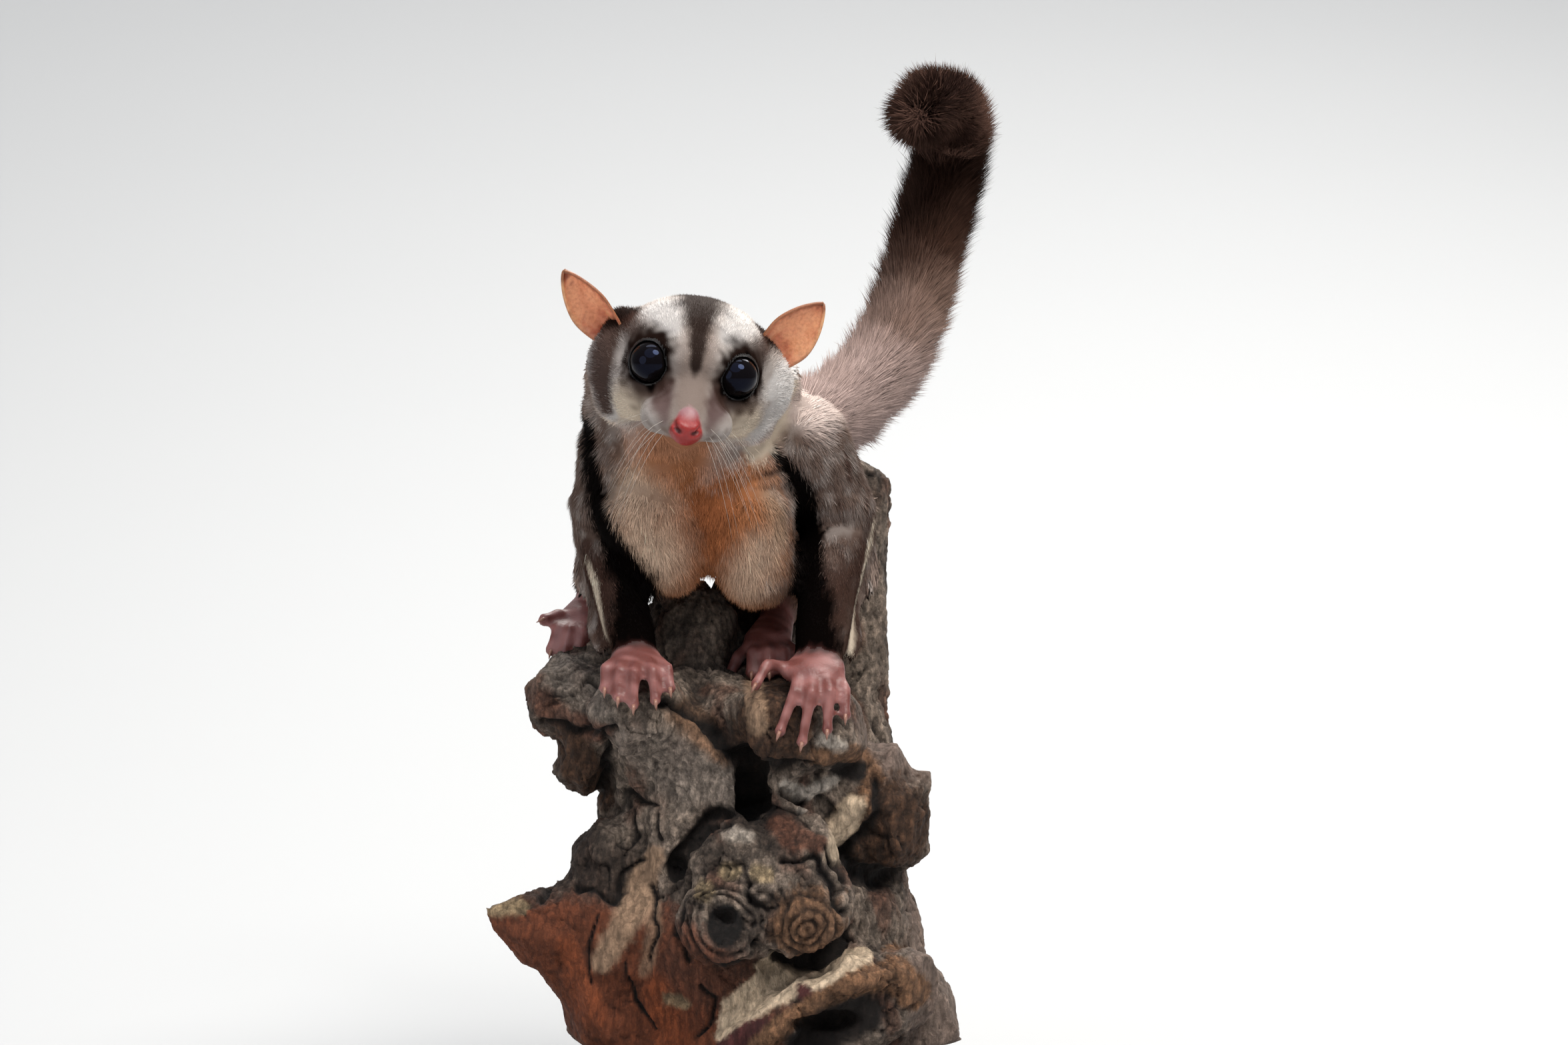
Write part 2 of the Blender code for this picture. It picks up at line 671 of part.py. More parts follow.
def tail_radius(along):
    """Half-width of the brush at a share of its length."""
    if along < 0.25:
        return TAIL_BASE_RADIUS + (TAIL_RADIUS - TAIL_BASE_RADIUS) * along / 0.25
    if along < 0.85:
        return TAIL_RADIUS
    return TAIL_RADIUS + (TAIL_TIP_RADIUS - TAIL_RADIUS) * (along - 0.85) / 0.15


def tail_core(path):
    """The tail's flesh and under-coat, half the brush's thickness."""
    clay = bmesh.new()
    last = len(path) - 1
    add_chain(clay, [(point, tail_radius(step / last) * CORE_SHARE) for step, point in enumerate(path)])
    return blended("tail", clay, FLESH_VOXEL, 4)


def lock(root, along, away, length, width, lift):
    """A flat tapered lock that leaves the core, bends and lies back along the tail."""
    across = along.cross(away).normalized()
    bm = bmesh.new()
    rings = []
    for share, spread, thick in ((0.0, 0.62, 1.0), (0.5, 1.0, 0.85), (1.0, 0.2, 0.3)):
        rise = lift * math.sin(share * math.pi / 2.0) ** 0.8
        centre = root + along * (length * share) + away * rise
        half = across * (width * spread / 2.0)
        deep = (away * math.cos(share) - along * 0.5 * math.cos(share)).normalized() * (LOCK_THICKNESS * thick / 2.0)
        rings.append([bm.verts.new(centre + side) for side in (half, deep, -half, -deep)])
    for low, high in zip(rings, rings[1:]):
        for corner in range(4):
            following = (corner + 1) % 4
            bm.faces.new((low[corner], low[following], high[following], high[corner]))
    bm.faces.new(rings[0][::-1])
    bm.faces.new(rings[-1])
    bmesh.ops.triangulate(bm, faces=bm.faces[:])
    return outward(object_from("lock", bm))


def joined(obj, pieces):
    """Unites a node with the closed pieces rooted in it."""
    bunch = bpy.data.collections.new("bunch")
    bpy.context.scene.collection.children.link(bunch)
    for piece in pieces:
        WORKSHOP.objects.unlink(piece)
        bunch.objects.link(piece)
    unite = obj.modifiers.new("Unite", 'BOOLEAN')
    unite.operation = 'UNION'
    unite.operand_type = 'COLLECTION'
    unite.collection = bunch
    unite.solver = 'MANIFOLD'
    mended(applied(obj))
    discard(*pieces)
    bpy.data.collections.remove(bunch)
    return kept_largest(obj)


def tail_locks(path):
    """Overlapping rings of locks along the tail, and a tuft at its tip."""
    rng = random.Random(7)
    pieces = []
    steps = len(path) - 1
    for row in range(TAIL_ROWS):
        place = steps * (LOCKS_FROM + (1.0 - LOCKS_FROM) * row / (TAIL_ROWS - 1.0))
        at = min(int(place), steps - 1)
        spot = path[at].lerp(path[at + 1], place - at)
        along = (path[at + 1] - path[at]).normalized()
        radius = tail_radius(place / steps)
        side = along.cross(Vector((1.0, 0.2, 0.3))).normalized()
        for number in range(LOCKS_A_RING):
            turn = math.tau * (number + 0.5 * (row % 2) + rng.uniform(-0.12, 0.12)) / LOCKS_A_RING
            away = Matrix.Rotation(turn, 3, along) @ side
            root = spot + away * radius * CORE_SHARE * 0.55
            lift = radius * (1.0 - CORE_SHARE * 0.55) * rng.uniform(0.93, 1.03)
            length = LOCK_LENGTH * rng.uniform(0.9, 1.1)
            width = math.tau * radius / LOCKS_A_RING * LOCK_OVERLAP
            if row == TAIL_ROWS - 1:
                lift *= 0.6
                width *= 0.7
            pieces.append(lock(root, along, away, length, width, lift))
    return pieces


def tail(path):
    """The tail in four lengths, each a core with the locks that root in it."""
    whole = decimated(tail_core(path), CORE_TRIANGLES)
    joined(whole, tail_locks(path))
    steps = len(path) - 1
    lengths = []
    for number in range(1, TAIL_LENGTHS):
        at = int(round(steps * (TAIL_FIRST_CUT + (number - 1) * TAIL_CUT_STEP)))
        normal = (path[at + 1] - path[at - 1]).normalized()
        length, whole = parted(whole, path[at], normal, 17.0, ("tail_length", "tail"))
        lengths.append(length)
    return [*lengths, whole]


# Branch

CREVICES = (
    # points in x and z on the branch's front, depth, half-width
    (((-12.0, 96.0), (-7.0, 88.0), (-1.8, 80.0), (-0.4, 72.0)), 3.2, 2.2),
    (((-17.0, 58.0), (-14.0, 64.5), (-7.8, 70.0), (-1.0, 73.0), (8.0, 71.5)), 2.2, 1.6),
    (((-28.5, 88.0), (-30.0, 80.0), (-29.5, 73.5)), 2.6, 1.8),
    (((16.0, 72.0), (19.0, 64.0), (22.0, 57.5), (30.0, 55.0)), 2.4, 1.8),
    (((1.0, 40.5), (8.0, 42.0), (15.0, 43.5), (19.0, 47.5)), 2.2, 1.5),
)
FRONT_Y = 2.0


def crevice_depth(spot):
    """How deep the cracks between the branch's lobes cut in at a spot."""
    deepest = 0.0
    for points, depth, half_width in CREVICES:
        for start, end in zip(points, points[1:]):
            start, span = Vector(start), Vector(end) - Vector(start)
            offset = Vector((spot.x, spot.z)) - start
            along = min(max(offset.dot(span) / span.length_squared, 0.0), 1.0)
            away = (offset - span * along).length
            deepest = max(deepest, depth * math.exp(-(away / half_width) ** 2))
    return deepest * min(max((FRONT_Y - spot.y) / 6.0, 0.0), 1.0)


def bark_shift(spot):
    """How far the bark stands out at a spot: long grooves, knobs and flakes."""
    grain = Vector((spot.x * 0.10, spot.y * 0.10, spot.z * 0.035))
    coarse = noise.fractal(spot * 0.055, 1.0, 2.0, 4)
    groove = 1.0 - abs(noise.noise(grain * 1.6)) * 3.0
    return BARK_RELIEF * (1.3 * coarse + 0.35 * groove) - crevice_depth(spot)


def perch():
    clay = bmesh.new()
    add_limb(clay, (3.0, 5.0, 10.0), (38.0, 31.0, 12.0), (-1.0, 6.0, 46.0), (33.0, 29.0, 12.0))
    add_limb(clay, (-1.0, 6.0, 46.0), (33.0, 29.0, 12.0), (-1.5, 8.0, 74.0), (31.0, 27.0, 14.0))
    add_ball(clay, (-9.0, 4.0, 84.0), (31.0, 25.0, 14.0))
    add_limb(clay, (-33.0, 0.0, 91.0), (13.0, 11.0, 8.5), (-34.0, 17.0, 93.0), (10.0, 12.0, 9.5))
    add_ball(clay, (-23.0, -15.0, 89.0), (10.5, 10.0, 9.0))
    add_ball(clay, (-13.0, 12.5, 103.0), (11.0, 10.0, 12.5))
    add_ball(clay, (5.0, -18.0, 87.0), (10.5, 10.0, 10.5))
    add_ball(clay, (12.0, -12.0, 88.0), (10.0, 12.0, 9.0))
    add_ball(clay, (2.0, 6.0, 88.0), (11.0, 12.0, 11.0))
    add_limb(clay, (-2.0, 24.0, 84.0), (12.0, 11.0, 10.0), (-1.0, 31.0, 106.0), (11.0, 9.0, 12.0))
    add_chain(clay, (((-24.0, -5.0, 44.0), (16.0, 13.0, 17.0)), ((-41.0, -10.0, 45.5), (9.0, 8.0, 8.5)),
                     ((-51.0, -13.0, 49.6), (2.6, 2.6, 2.4))))
    add_ball(clay, (26.0, -1.0, 66.0), (11.0, 11.0, 12.0))
    add_ball(clay, (20.0, -15.0, 33.0), (16.0, 12.0, 12.0))
    add_chain(clay, (((-3.0, -22.0, 24.0), (6.0, 6.0, 4.5)), ((8.0, -27.0, 33.0), (5.6, 5.0, 3.6)),
                     ((20.0, -27.0, 39.5), (6.0, 5.0, 3.6)), ((31.0, -17.0, 39.0), (6.0, 6.0, 5.0))))
    add_ball(clay, (-29.0, -5.0, 59.5), (9.5, 11.0, 9.5))
    add_limb(clay, (-36.0, -8.0, 40.0), (8.5, 8.0, 8.0), (-26.0, -5.0, 26.0), (13.0, 12.0, 8.0))
    add_ball(clay, (-34.5, -4.0, 79.5), (5.8, 8.0, 7.0))
    add_limb(clay, (27.6, -4.0, 74.0), 3.6, (27.8, -4.5, 80.5), 1.9)
    add_limb(clay, (32.4, -2.0, 72.0), 3.0, (34.6, -2.0, 77.0), 1.2)
    add_ball(clay, (10.4, -25.0, 50.5), (8.2, 8.0, 8.0))
    add_ball(clay, (34.0, -2.0, 26.0), (9.0, 10.0, 12.0))
    add_chain(clay, (((18.0, 24.0, 50.0), (12.0, 14.0, 14.0)), ((21.0, 38.0, 82.0), (7.4, 8.2, 8.0)),
                     ((21.4, 43.0, 110.0), STEM_RADIUS + 0.4), ((21.4, 44.0, 139.0), STEM_RADIUS)))
    add_ball(clay, (3.0, -20.0, 58.0), (16.0, 11.0, 14.0))
    add_ring(clay, Vector((3.5, -22.5, 59.0)), Vector((-0.1, -1.0, 0.1)), 11.5, 5.0)
    add_ring(clay, Vector((-5.5, -28.5, 51.0)), Vector((-0.2, -1.0, 0.1)), 5.6, 3.2)
    add_ring(clay, Vector((21.0, -6.0, 76.0)), Vector((0.1, -0.7, 0.7)), 5.5, 3.0)
    wood = blended("perch", clay, WOOD_VOXEL, 4)
    for vert, normal in zip(wood.data.vertices, [n.vector.copy() for n in wood.data.vertex_normals]):
        vert.co = vert.co + normal * bark_shift(vert.co)
    hole = bmesh.new()
    add_limb(hole, (-6.0, -46.0, 51.0), 3.4, (-4.5, -27.0, 50.5), 2.4)
    add_limb(hole, (15.0, -48.0, 29.0), (11.0, 4.0, 3.8), (14.0, -24.0, 30.5), (7.0, 3.0, 2.4))
    knothole = decimated(blended("knothole", hole, 0.5, 0), 260)
    decimated(wood, 1700)
    boolean(wood, knothole, 'DIFFERENCE')
    discard(knothole)
    cut_below(wood, Vector((0.0, 0.0, PERCH_BOTTOM)), Vector((0.0, 0.0, -1.0)))
    cut_below(wood, Vector((21.4, 44.0, 137.4)), Vector((0.5, 0.0, 0.86)), 20.0)
    return kept_largest(wood)


def cut_below(obj, point, outward_normal, reach=200.0):
    """Takes away what lies past a plane, within reach of the point."""
    bm = bmesh.new()
    turn = outward_normal.to_track_quat('Z', 'Y').to_matrix().to_4x4()
    place = Matrix.Translation(point) @ turn @ Matrix.Translation((0.0, 0.0, reach / 2.0))
    bmesh.ops.create_cube(bm, size=reach, matrix=place)
    tool = object_from("plane", bm)
    boolean(obj, tool, 'DIFFERENCE')
    discard(tool)


# Stand

def stand_base():
    """A turned disc with a small chamfer on its upper edge."""
    bm = bmesh.new()
    lower = STAND_THICKNESS - 1.5
    profile = ((0.0, STAND_THICKNESS), (STAND_RADIUS - 1.5, STAND_THICKNESS), (STAND_RADIUS, lower),
               (STAND_RADIUS, 0.0), (0.0, 0.0))
    verts = [bm.verts.new((x, 0.0, z)) for x, z in profile]
    edges = [bm.edges.new(pair) for pair in zip(verts, verts[1:])]
    bmesh.ops.spin(bm, geom=verts + edges, cent=(0, 0, 0), axis=(0, 0, 1), angle=math.tau,
                   steps=40, use_merge=True)
    bmesh.ops.remove_doubles(bm, verts=bm.verts[:], dist=0.01)
    bmesh.ops.translate(bm, verts=bm.verts[:], vec=(0.0, STAND_CENTRE_Y, 0.0))
    return outward(object_from("base", bm))


def stand_rod(x):
    bm = bmesh.new()
    low = STAND_THICKNESS + GAP
    high = PERCH_BOTTOM - GAP
    place = Matrix.Translation((x, STAND_CENTRE_Y, (low + high) / 2.0))
    bmesh.ops.create_cone(bm, cap_ends=True, segments=16, radius1=ROD_RADIUS, radius2=ROD_RADIUS,
                          depth=high - low, matrix=place)
    return object_from("rod", bm)


# Materials

def make_looks():
    return {
        "coat": material("coat_grey", (0.45, 0.40, 0.35), 0.9),
        "cream": material("coat_cream", (0.75, 0.66, 0.52), 0.9),
        "brown": material("coat_brown", (0.13, 0.09, 0.07), 0.9),
        "chest": material("coat_buff", (0.62, 0.42, 0.26), 0.9),
        "skin": material("bare_skin", (0.75, 0.42, 0.36), 0.55),
        "ear": material("ear_skin", (0.62, 0.33, 0.18), 0.6),
        "eye": material("eye_dark", (0.01, 0.01, 0.015), 0.05),
        "wood": material("bark", (0.22, 0.17, 0.14), 0.85),
        "stand": material("stand_grey", (0.06, 0.06, 0.065), 0.45),
        "steel": material("rod_steel", (0.5, 0.5, 0.5), 0.35, 1.0),
    }


def build():
    looks = make_looks()

    trunk = decimated(torso(), 1050)

    clay = bmesh.new()
    add_head(clay)
    add_neck(clay)
    mass = blended("mass", clay, FLESH_VOXEL, 8)
    fine = bmesh.new()
    fine.from_mesh(mass.data)
    discard(mass)
    add_face(fine)
    skull = blended("skull", fine, 0.4, 3, 0.4)
    behind = HEAD_TURN @ Vector((0.0, 0.93, -0.36)).normalized()
    head, neck = parted(skull, head_point(0.0, 14.0, -6.0), behind, 40.0, ("head", "neck"))
    decimated(head, 1700)
    decimated(neck, 340)
    for _, side in SIDES:
        socket = eyeball(side, EYE_RADIUS + GAP, 16, 10)
        boolean(head, socket, 'DIFFERENCE')
        discard(socket)
    cut_mouth(head)
    cut_nostrils(head)
    seated(head, [trunk])
    seated(neck, [trunk])

    ears = []
    for name, side in SIDES:
        cup = seated(ear(name, side), [head, neck])
        ears.append((cup, "ear_" + name))
    eyes = [(eyeball(side, EYE_RADIUS), "eye_" + name) for name, side in SIDES]

    limbs = {}
    for name, side in SIDES:
        plan = FORELEGS[name]
        whole = limb("foreleg_" + name, plan["arm"], plan["palm"], plan["digits"], FINGER_RADIUS)
        wrist = Vector(plan["arm"][-1][0])
        bend = Vector(plan["arm"][2][0])
        reach_down = (wrist - Vector(plan["arm"][3][0])).normalized()
        fold = (Vector(plan["arm"][3][0]) - bend).normalized()
        upper, hand = parted(whole, wrist, reach_down, 8.5, ("foreleg", "hand"))
        arm, forearm = parted(upper, bend + fold * 3.0, fold, 14.0, ("arm", "forearm"))
        limbs["upper_arm_" + name] = decimated(arm, 260)
        limbs["forearm_" + name] = decimated(forearm, 200)
        limbs["hand_" + name] = decimated(hand, 530)

        plan = HINDLEGS[name]
        whole = limb("hindleg_" + name, plan["leg"], plan["palm"], plan["digits"], TOE_RADIUS)
        ankle = Vector(plan["leg"][-1][0])
        shin = (ankle - Vector(plan["leg"][2][0])).normalized()
        leg, foot = parted(whole, ankle - shin * 2.6, shin, 8.5, ("hindleg", "foot"))
        limbs["hindleg_" + name] = decimated(leg, 300)
        limbs["foot_" + name] = decimated(foot, 500)

    for key, piece in limbs.items():
        seated(piece, [trunk, neck])
    for name, _ in SIDES:
        seated(limbs["hindleg_" + name], [limbs["upper_arm_" + name], limbs["forearm_" + name]])

    folds = {}
    for name, side in SIDES:
        fold = decimated(membrane(name, side), 260)
        near = [limbs[part + name] for part in ("upper_arm_", "forearm_", "hand_", "hindleg_", "foot_")]
        folds["patagium_" + name] = seated(fold, [trunk, *near])

    tails = tail(path=smooth_path(TAIL_POINTS, 3))
    seated(tails[0], [trunk, *[limbs["hindleg_" + name] for name, _ in SIDES]])

    wood = perch()
    seated(wood, [trunk, *limbs.values(), *folds.values(), tails[0], tails[1]])

    finish(trunk, "torso", looks["coat"])
    finish(head, "head", looks["coat"])
    finish(neck, "neck", looks["coat"])
    for piece, name in ears:
        finish(piece, name, looks["ear"])
    for piece, name in eyes:
        finish(piece, name, looks["eye"])
    for name, piece in limbs.items():
        bare = name.startswith(("hand", "foot"))
        finish(piece, name, looks["skin" if bare else "brown"])
    for name, piece in folds.items():
        finish(piece, name, looks["cream"])
    for number, piece in enumerate(tails, 1):
        finish(piece, "tail_%d" % number, looks["coat" if number < 3 else "brown"])
    finish(wood, "perch", looks["wood"])
    finish(stand_base(), "stand_base", looks["stand"])
    for number, x in enumerate((-ROD_SPREAD, ROD_SPREAD), 1):
        finish(stand_rod(x), "stand_rod_%d" % number, looks["steel"])


clear_scene()
MODEL = new_collection("sugar_glider")
WORKSHOP = new_collection("workshop")
build()
bpy.context.scene.collection.children.unlink(WORKSHOP)
bpy.data.collections.remove(WORKSHOP)
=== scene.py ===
"""Looks for a life-size sugar glider crouched on a cut branch, on a plain display stand.

Shapes are worked in millimetres, in the frame of the CAD part, and each finished
piece is brought to metres. The animal faces -Y and its left side is towards +X.
"""

import math

import bmesh
import bpy
import numpy as np
from mathutils import Matrix, Vector, noise
from mathutils.bvhtree import BVHTree


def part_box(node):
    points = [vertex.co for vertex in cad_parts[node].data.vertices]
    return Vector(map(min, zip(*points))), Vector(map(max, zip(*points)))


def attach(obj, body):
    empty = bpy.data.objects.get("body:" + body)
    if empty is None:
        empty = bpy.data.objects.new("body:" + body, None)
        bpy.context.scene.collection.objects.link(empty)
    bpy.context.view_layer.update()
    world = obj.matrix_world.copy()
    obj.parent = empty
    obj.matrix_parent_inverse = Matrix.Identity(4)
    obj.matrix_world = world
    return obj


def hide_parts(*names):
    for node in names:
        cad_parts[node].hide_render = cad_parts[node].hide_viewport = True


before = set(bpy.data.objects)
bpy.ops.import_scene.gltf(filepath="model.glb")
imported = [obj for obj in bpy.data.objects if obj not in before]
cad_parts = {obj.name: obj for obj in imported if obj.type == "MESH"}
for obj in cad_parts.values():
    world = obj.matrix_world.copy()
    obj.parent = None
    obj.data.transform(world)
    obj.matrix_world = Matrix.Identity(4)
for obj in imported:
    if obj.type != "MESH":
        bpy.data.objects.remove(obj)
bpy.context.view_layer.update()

MM = 0.001
SIDES = (("right", -1.0), ("left", 1.0))

# Head, as the CAD part sets it

HEAD_AT = Vector((-12.0, -24.0, 160.6))
HEAD_TURN = (Matrix.Rotation(math.radians(3.0), 3, 'Z') @ Matrix.Rotation(math.radians(9.8), 3, 'Y')
             @ Matrix.Rotation(math.radians(14.0), 3, 'X'))
HEAD_MIDDLE = np.array((0.0, 4.0, -2.0))
NOSE_REACH = 17.0
EYE_RADIUS = 4.15
EAR_SPREAD = {"right": 16.0, "left": 13.8}
EAR_TURN = {"right": 0.72, "left": 0.30}
EAR_RISE = {"right": math.radians(35.0), "left": math.radians(46.0)}
EAR_LENGTH = 16.0
EAR_HALF_WIDTH = {"right": 4.7, "left": 5.3}

# Tail, as the CAD part sets it

TAIL_POINTS = ((3.0, 56.0, 137.0), (11.0, 67.0, 142.4), (18.5, 79.0, 146.0), (27.5, 92.0, 154.5),
               (33.5, 104.0, 166.8), (37.5, 111.5, 180.3), (40.8, 113.5, 192.5), (42.8, 108.0, 202.6),
               (41.6, 96.0, 208.8), (38.0, 83.0, 210.4), (35.2, 72.0, 208.6))
TAIL_CORE = 7.4

# Skin and coat

FLESH = ("head", "neck", "torso", "upper_arm_right", "upper_arm_left", "forearm_right", "forearm_left",
         "hand_right", "hand_left", "hindleg_right", "hindleg_left", "foot_right", "foot_left",
         "patagium_right", "patagium_left")
TAIL_NODES = ("tail_1", "tail_2", "tail_3", "tail_4")
GAP_FILL = 0.32
BARE_SHRINK = 0.15
SKIN_VOXEL = 0.42
SKIN_TRIANGLES = 170000
KEPT_FACTOR = 3.0
DEPTH_SHARE = 0.34
DEPTH_LEAST = 0.15
DEPTH_MOST = 2.3
SEED = 11

# How the lines of the lie blend into each other, and how the coat turns round the eyes

LIE_SOFTNESS = 1.5
LIE_POWER = 5
EYE_PULL = 3.0

# Tufts, in millimetres, and their patches on the unwrap

TUFT_SINK = 0.35
TUFT_SWAY = 0.22
TUFT_LEAN = 0.16
TUFT_TONE = 0.22
PATCH_RADIUS = 0.0014
PATCH_MARGIN = 0.004
GUIDE_TRIANGLES = 9000.0
BRUSH_TUFTS = 24000
BRUSH_PIECES = 4
BRUSH_WIDTH = 0.46
BRUSH_LIFT = 0.66
BRUSH_SWAY = 0.3
TAIL_REACH = 11.0
NO_CHANCE = 1e-12


def head_point(x, y, z):
    """A spot given in the head's own axes, as a world spot."""
    return HEAD_AT + HEAD_TURN @ Vector((x, y, z))


def head_local(points):
    """World spots in the head's own axes."""
    return (points - np.array(HEAD_AT)) @ np.array(HEAD_TURN)


def centre_of(node):
    low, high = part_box(node)
    return (low + high) / 2.0 / MM


EYES = {name: centre_of("eye_" + name) for name, _ in SIDES}

# The lie of the coat: lines along the body, each point with the coat's length there

FORELEGS = {
    "right": ((-27.0, 2.0, 143.0), (-30.0, 4.5, 125.5), (-24.2, -14.5, 104.8), (-23.4, -21.5, 101.2)),
    "left": ((9.5, 3.0, 142.5), (16.4, 5.5, 126.0), (13.2, -14.5, 103.6), (12.0, -21.5, 99.6)),
}
HINDLEGS = {
    "right": ((-15.5, 46.0, 129.0), (-25.5, 25.0, 123.5), (-30.5, 31.0, 114.0), (-33.4, 32.0, 108.8),
              (-35.4, 21.6, 104.8)),
    "left": ((8.5, 46.0, 127.0), (10.5, 26.0, 120.5), (7.4, 24.5, 111.4), (4.6, 21.0, 106.6),
             (2.6, 9.6, 102.6)),
}


def lie_lines():
    """Each line: (spots, coat lengths)."""
    lines = [
        ([head_point(0, -16, -6), head_point(0, -9, -1), head_point(0, 0, 9), head_point(0, 10, 13),
          head_point(0, 22, 10)], (0.6, 1.0, 1.6, 2.2, 3.4)),
        ([(-11.0, -4.0, 166.0), (-9.0, 10.0, 160.0), (-4.0, 30.0, 158.5), (0.0, 46.0, 153.0),
          (3.0, 58.0, 146.0)], (3.4, 4.4, 5.0, 5.4, 6.0)),
        ([head_point(0, -15, -11.4), head_point(0, -5, -15.5), (-12.8, -17.0, 143.4), (-11.5, -17.0, 128.0),
          (-10.0, -10.0, 114.0), (-6.0, 14.0, 112.0), (-2.0, 36.0, 112.0), (2.0, 56.0, 118.0)],
         (0.7, 1.4, 2.4, 3.0, 4.4, 4.2, 4.0, 4.5)),
    ]
    for _, side in SIDES:
        lines.append((mirrored(side, (3, -15, -7.5), (9, -6, -7), (15, 2, -7), (17, 12, -8), (17, 22, -14)),
                      (0.6, 1.1, 1.9, 2.8, 3.4)))
        lines.append((mirrored(side, (7, -7, 3), (10, 3, 8), (12, 14, 9)), (0.9, 1.7, 2.6)))
        middle = -10.0
        lines.append(([(middle + side * 20, 0.0, 152.0), (middle + side * 23, 14.0, 140.0),
                       (-5.0 + side * 24, 28.0, 132.0), (-2.0 + side * 20, 44.0, 128.0)],
                      (3.2, 3.6, 4.0, 5.0)))
        lines.append(([(-11.5 + side * 9, -16.0, 142.0), (-11.0 + side * 10, -17.0, 128.0),
                       (-9.0 + side * 9, -12.0, 116.0)], (2.5, 3.0, 4.4)))
    for name, _ in SIDES:
        lines.append((FORELEGS[name], (3.2, 2.8, 1.4, 0.6)))
        lines.append((HINDLEGS[name], (5.0, 4.0, 2.8, 1.6, 0.6)))
    lines.append((TAIL_POINTS, [7.4 + 1.2 * min(step, 6) / 6.0 for step in range(len(TAIL_POINTS))]))
    return lines


class Lie:
    """Direction and length of the coat anywhere on the body, from the lines above."""

    def __init__(self):
        starts, ends, first, last = [], [], [], []
        for spots, lengths in lie_lines():
            for number in range(len(spots) - 1):
                starts.append(tuple(spots[number]))
                ends.append(tuple(spots[number + 1]))
                first.append(lengths[number])
                last.append(lengths[number + 1])
        self.starts = np.array(starts)
        self.spans = np.array(ends) - self.starts
        self.reach = np.linalg.norm(self.spans, axis=1)
        self.first = np.array(first)
        self.last = np.array(last)

    def __call__(self, points):
        """Unit directions and coat lengths at the points."""
        total = np.zeros(len(points))
        flow = np.zeros((len(points), 3))
        length = np.zeros(len(points))
        pieces = zip(self.starts, self.spans, self.reach, self.first, self.last)
        for start, span, reach, first, last in pieces:
            offset = points - start
            along = np.clip(offset @ span / reach ** 2, 0.0, 1.0)
            away = np.linalg.norm(offset - along[:, None] * span, axis=1)
            weight = 1.0 / (away + LIE_SOFTNESS) ** LIE_POWER
            total += weight
            flow += weight[:, None] * (span / reach)
            length += weight * (first + (last - first) * along)
        flow /= total[:, None]
        for eye in EYES.values():
            offset = points - np.array(eye)
            away = np.linalg.norm(offset, axis=1)
            pull = np.exp(-((away - EYE_RADIUS) / EYE_PULL) ** 2)
            flow += pull[:, None] * offset / away[:, None]
        return flow / np.maximum(np.linalg.norm(flow, axis=1), 1e-6)[:, None], length / total


# Small numeric helpers

MOTTLE_WAVES = 7
MOTTLE_SPREAD = 4.0
FAR = 1e9


def smooth_step(low, high, value):
    """0 below low, 1 above high and an even curve between; with high under low, the reverse."""
    share = np.clip((value - low) / (high - low), 0.0, 1.0)
    return share * share * (3.0 - 2.0 * share)


def unit(vectors):
    """Vectors brought to length one."""
    return vectors / np.maximum(np.linalg.norm(vectors, axis=1), 1e-9)[:, None]


def mottle(points, size, seed):
    """Smooth random variation from -1 to 1, with patches of about the given size."""
    rng = np.random.default_rng(seed)
    total = np.zeros(len(points))
    for _ in range(MOTTLE_WAVES):
        turn = unit(rng.normal(size=(1, 3)))[0] * rng.uniform(0.7, 1.5) * math.tau / (size * 2.0)
        total += np.sin(points @ turn + rng.uniform(0.0, math.tau))
    return total / MOTTLE_SPREAD


def near_line(points, spots, radii):
    """Distance to a chain of spots as a share of the radius there."""
    nearest = np.full(len(points), FAR)
    spots = [np.array(spot, float) for spot in spots]
    if len(spots) == 1:
        return np.linalg.norm(points - spots[0], axis=1) / radii[0]
    for start, end, first, last in zip(spots, spots[1:], radii, radii[1:]):
        span = end - start
        along = np.clip((points - start) @ span / max(span @ span, 1e-9), 0.0, 1.0)
        away = np.linalg.norm(points - start - along[:, None] * span, axis=1)
        nearest = np.minimum(nearest, away / (first + (last - first) * along))
    return nearest


# Colours of skin and coat

def shade(red, green, blue):
    """A colour as seen on screen, in linear light."""
    return np.array([((value / 255.0 + 0.055) / 1.055) ** 2.4 for value in (red, green, blue)])


GREY = shade(142, 124, 114)
TAUPE = shade(94, 76, 68)
PALE = shade(196, 187, 181)
WHITE = shade(213, 208, 205)
CREAM = shade(232, 214, 192)
BUFF = shade(178, 118, 80)
BUFF_IN_SHADE = shade(146, 82, 48)
BROWN = shade(70, 50, 43)
DARK = shade(36, 25, 21)
BLACK = shade(11, 7, 6)
PINK = shade(150, 102, 98)
PINK_DEEP = shade(94, 46, 40)
NOSE_RED = shade(142, 42, 40)
NOSE_PALE = shade(146, 104, 108)
LID = shade(12, 9, 9)
NOSTRIL_SHADE = shade(60, 14, 14)
KNUCKLE = shade(96, 58, 54)
MUZZLE = shade(104, 82, 80)
SHOULDER_PALE = shade(214, 196, 188)
BACK_PALE = shade(208, 188, 176)
CHEST_SIDE = shade(176, 150, 126)
CHEST_STREAK = shade(112, 66, 40)
CHEST_FURROW_SHADE = shade(64, 28, 14)
TAIL_ROOT = shade(160, 140, 134)
TAIL_GREY = shade(122, 100, 90)
TAIL_BROWN = shade(62, 43, 35)
TAIL_DARK = shade(36, 23, 18)
TAIL_TIP_LIT = shade(104, 78, 68)
EAR_TAN = shade(208, 158, 118)
EAR_WARM = shade(188, 132, 92)
EAR_ROOT_SHADE = shade(158, 96, 68)
EAR_RIM = shade(122, 76, 48)


def painted(colour, mask, paint):
    """Colours brought towards a paint by the mask."""
    return colour + (paint - colour) * np.clip(mask, 0.0, 1.0)[:, None]


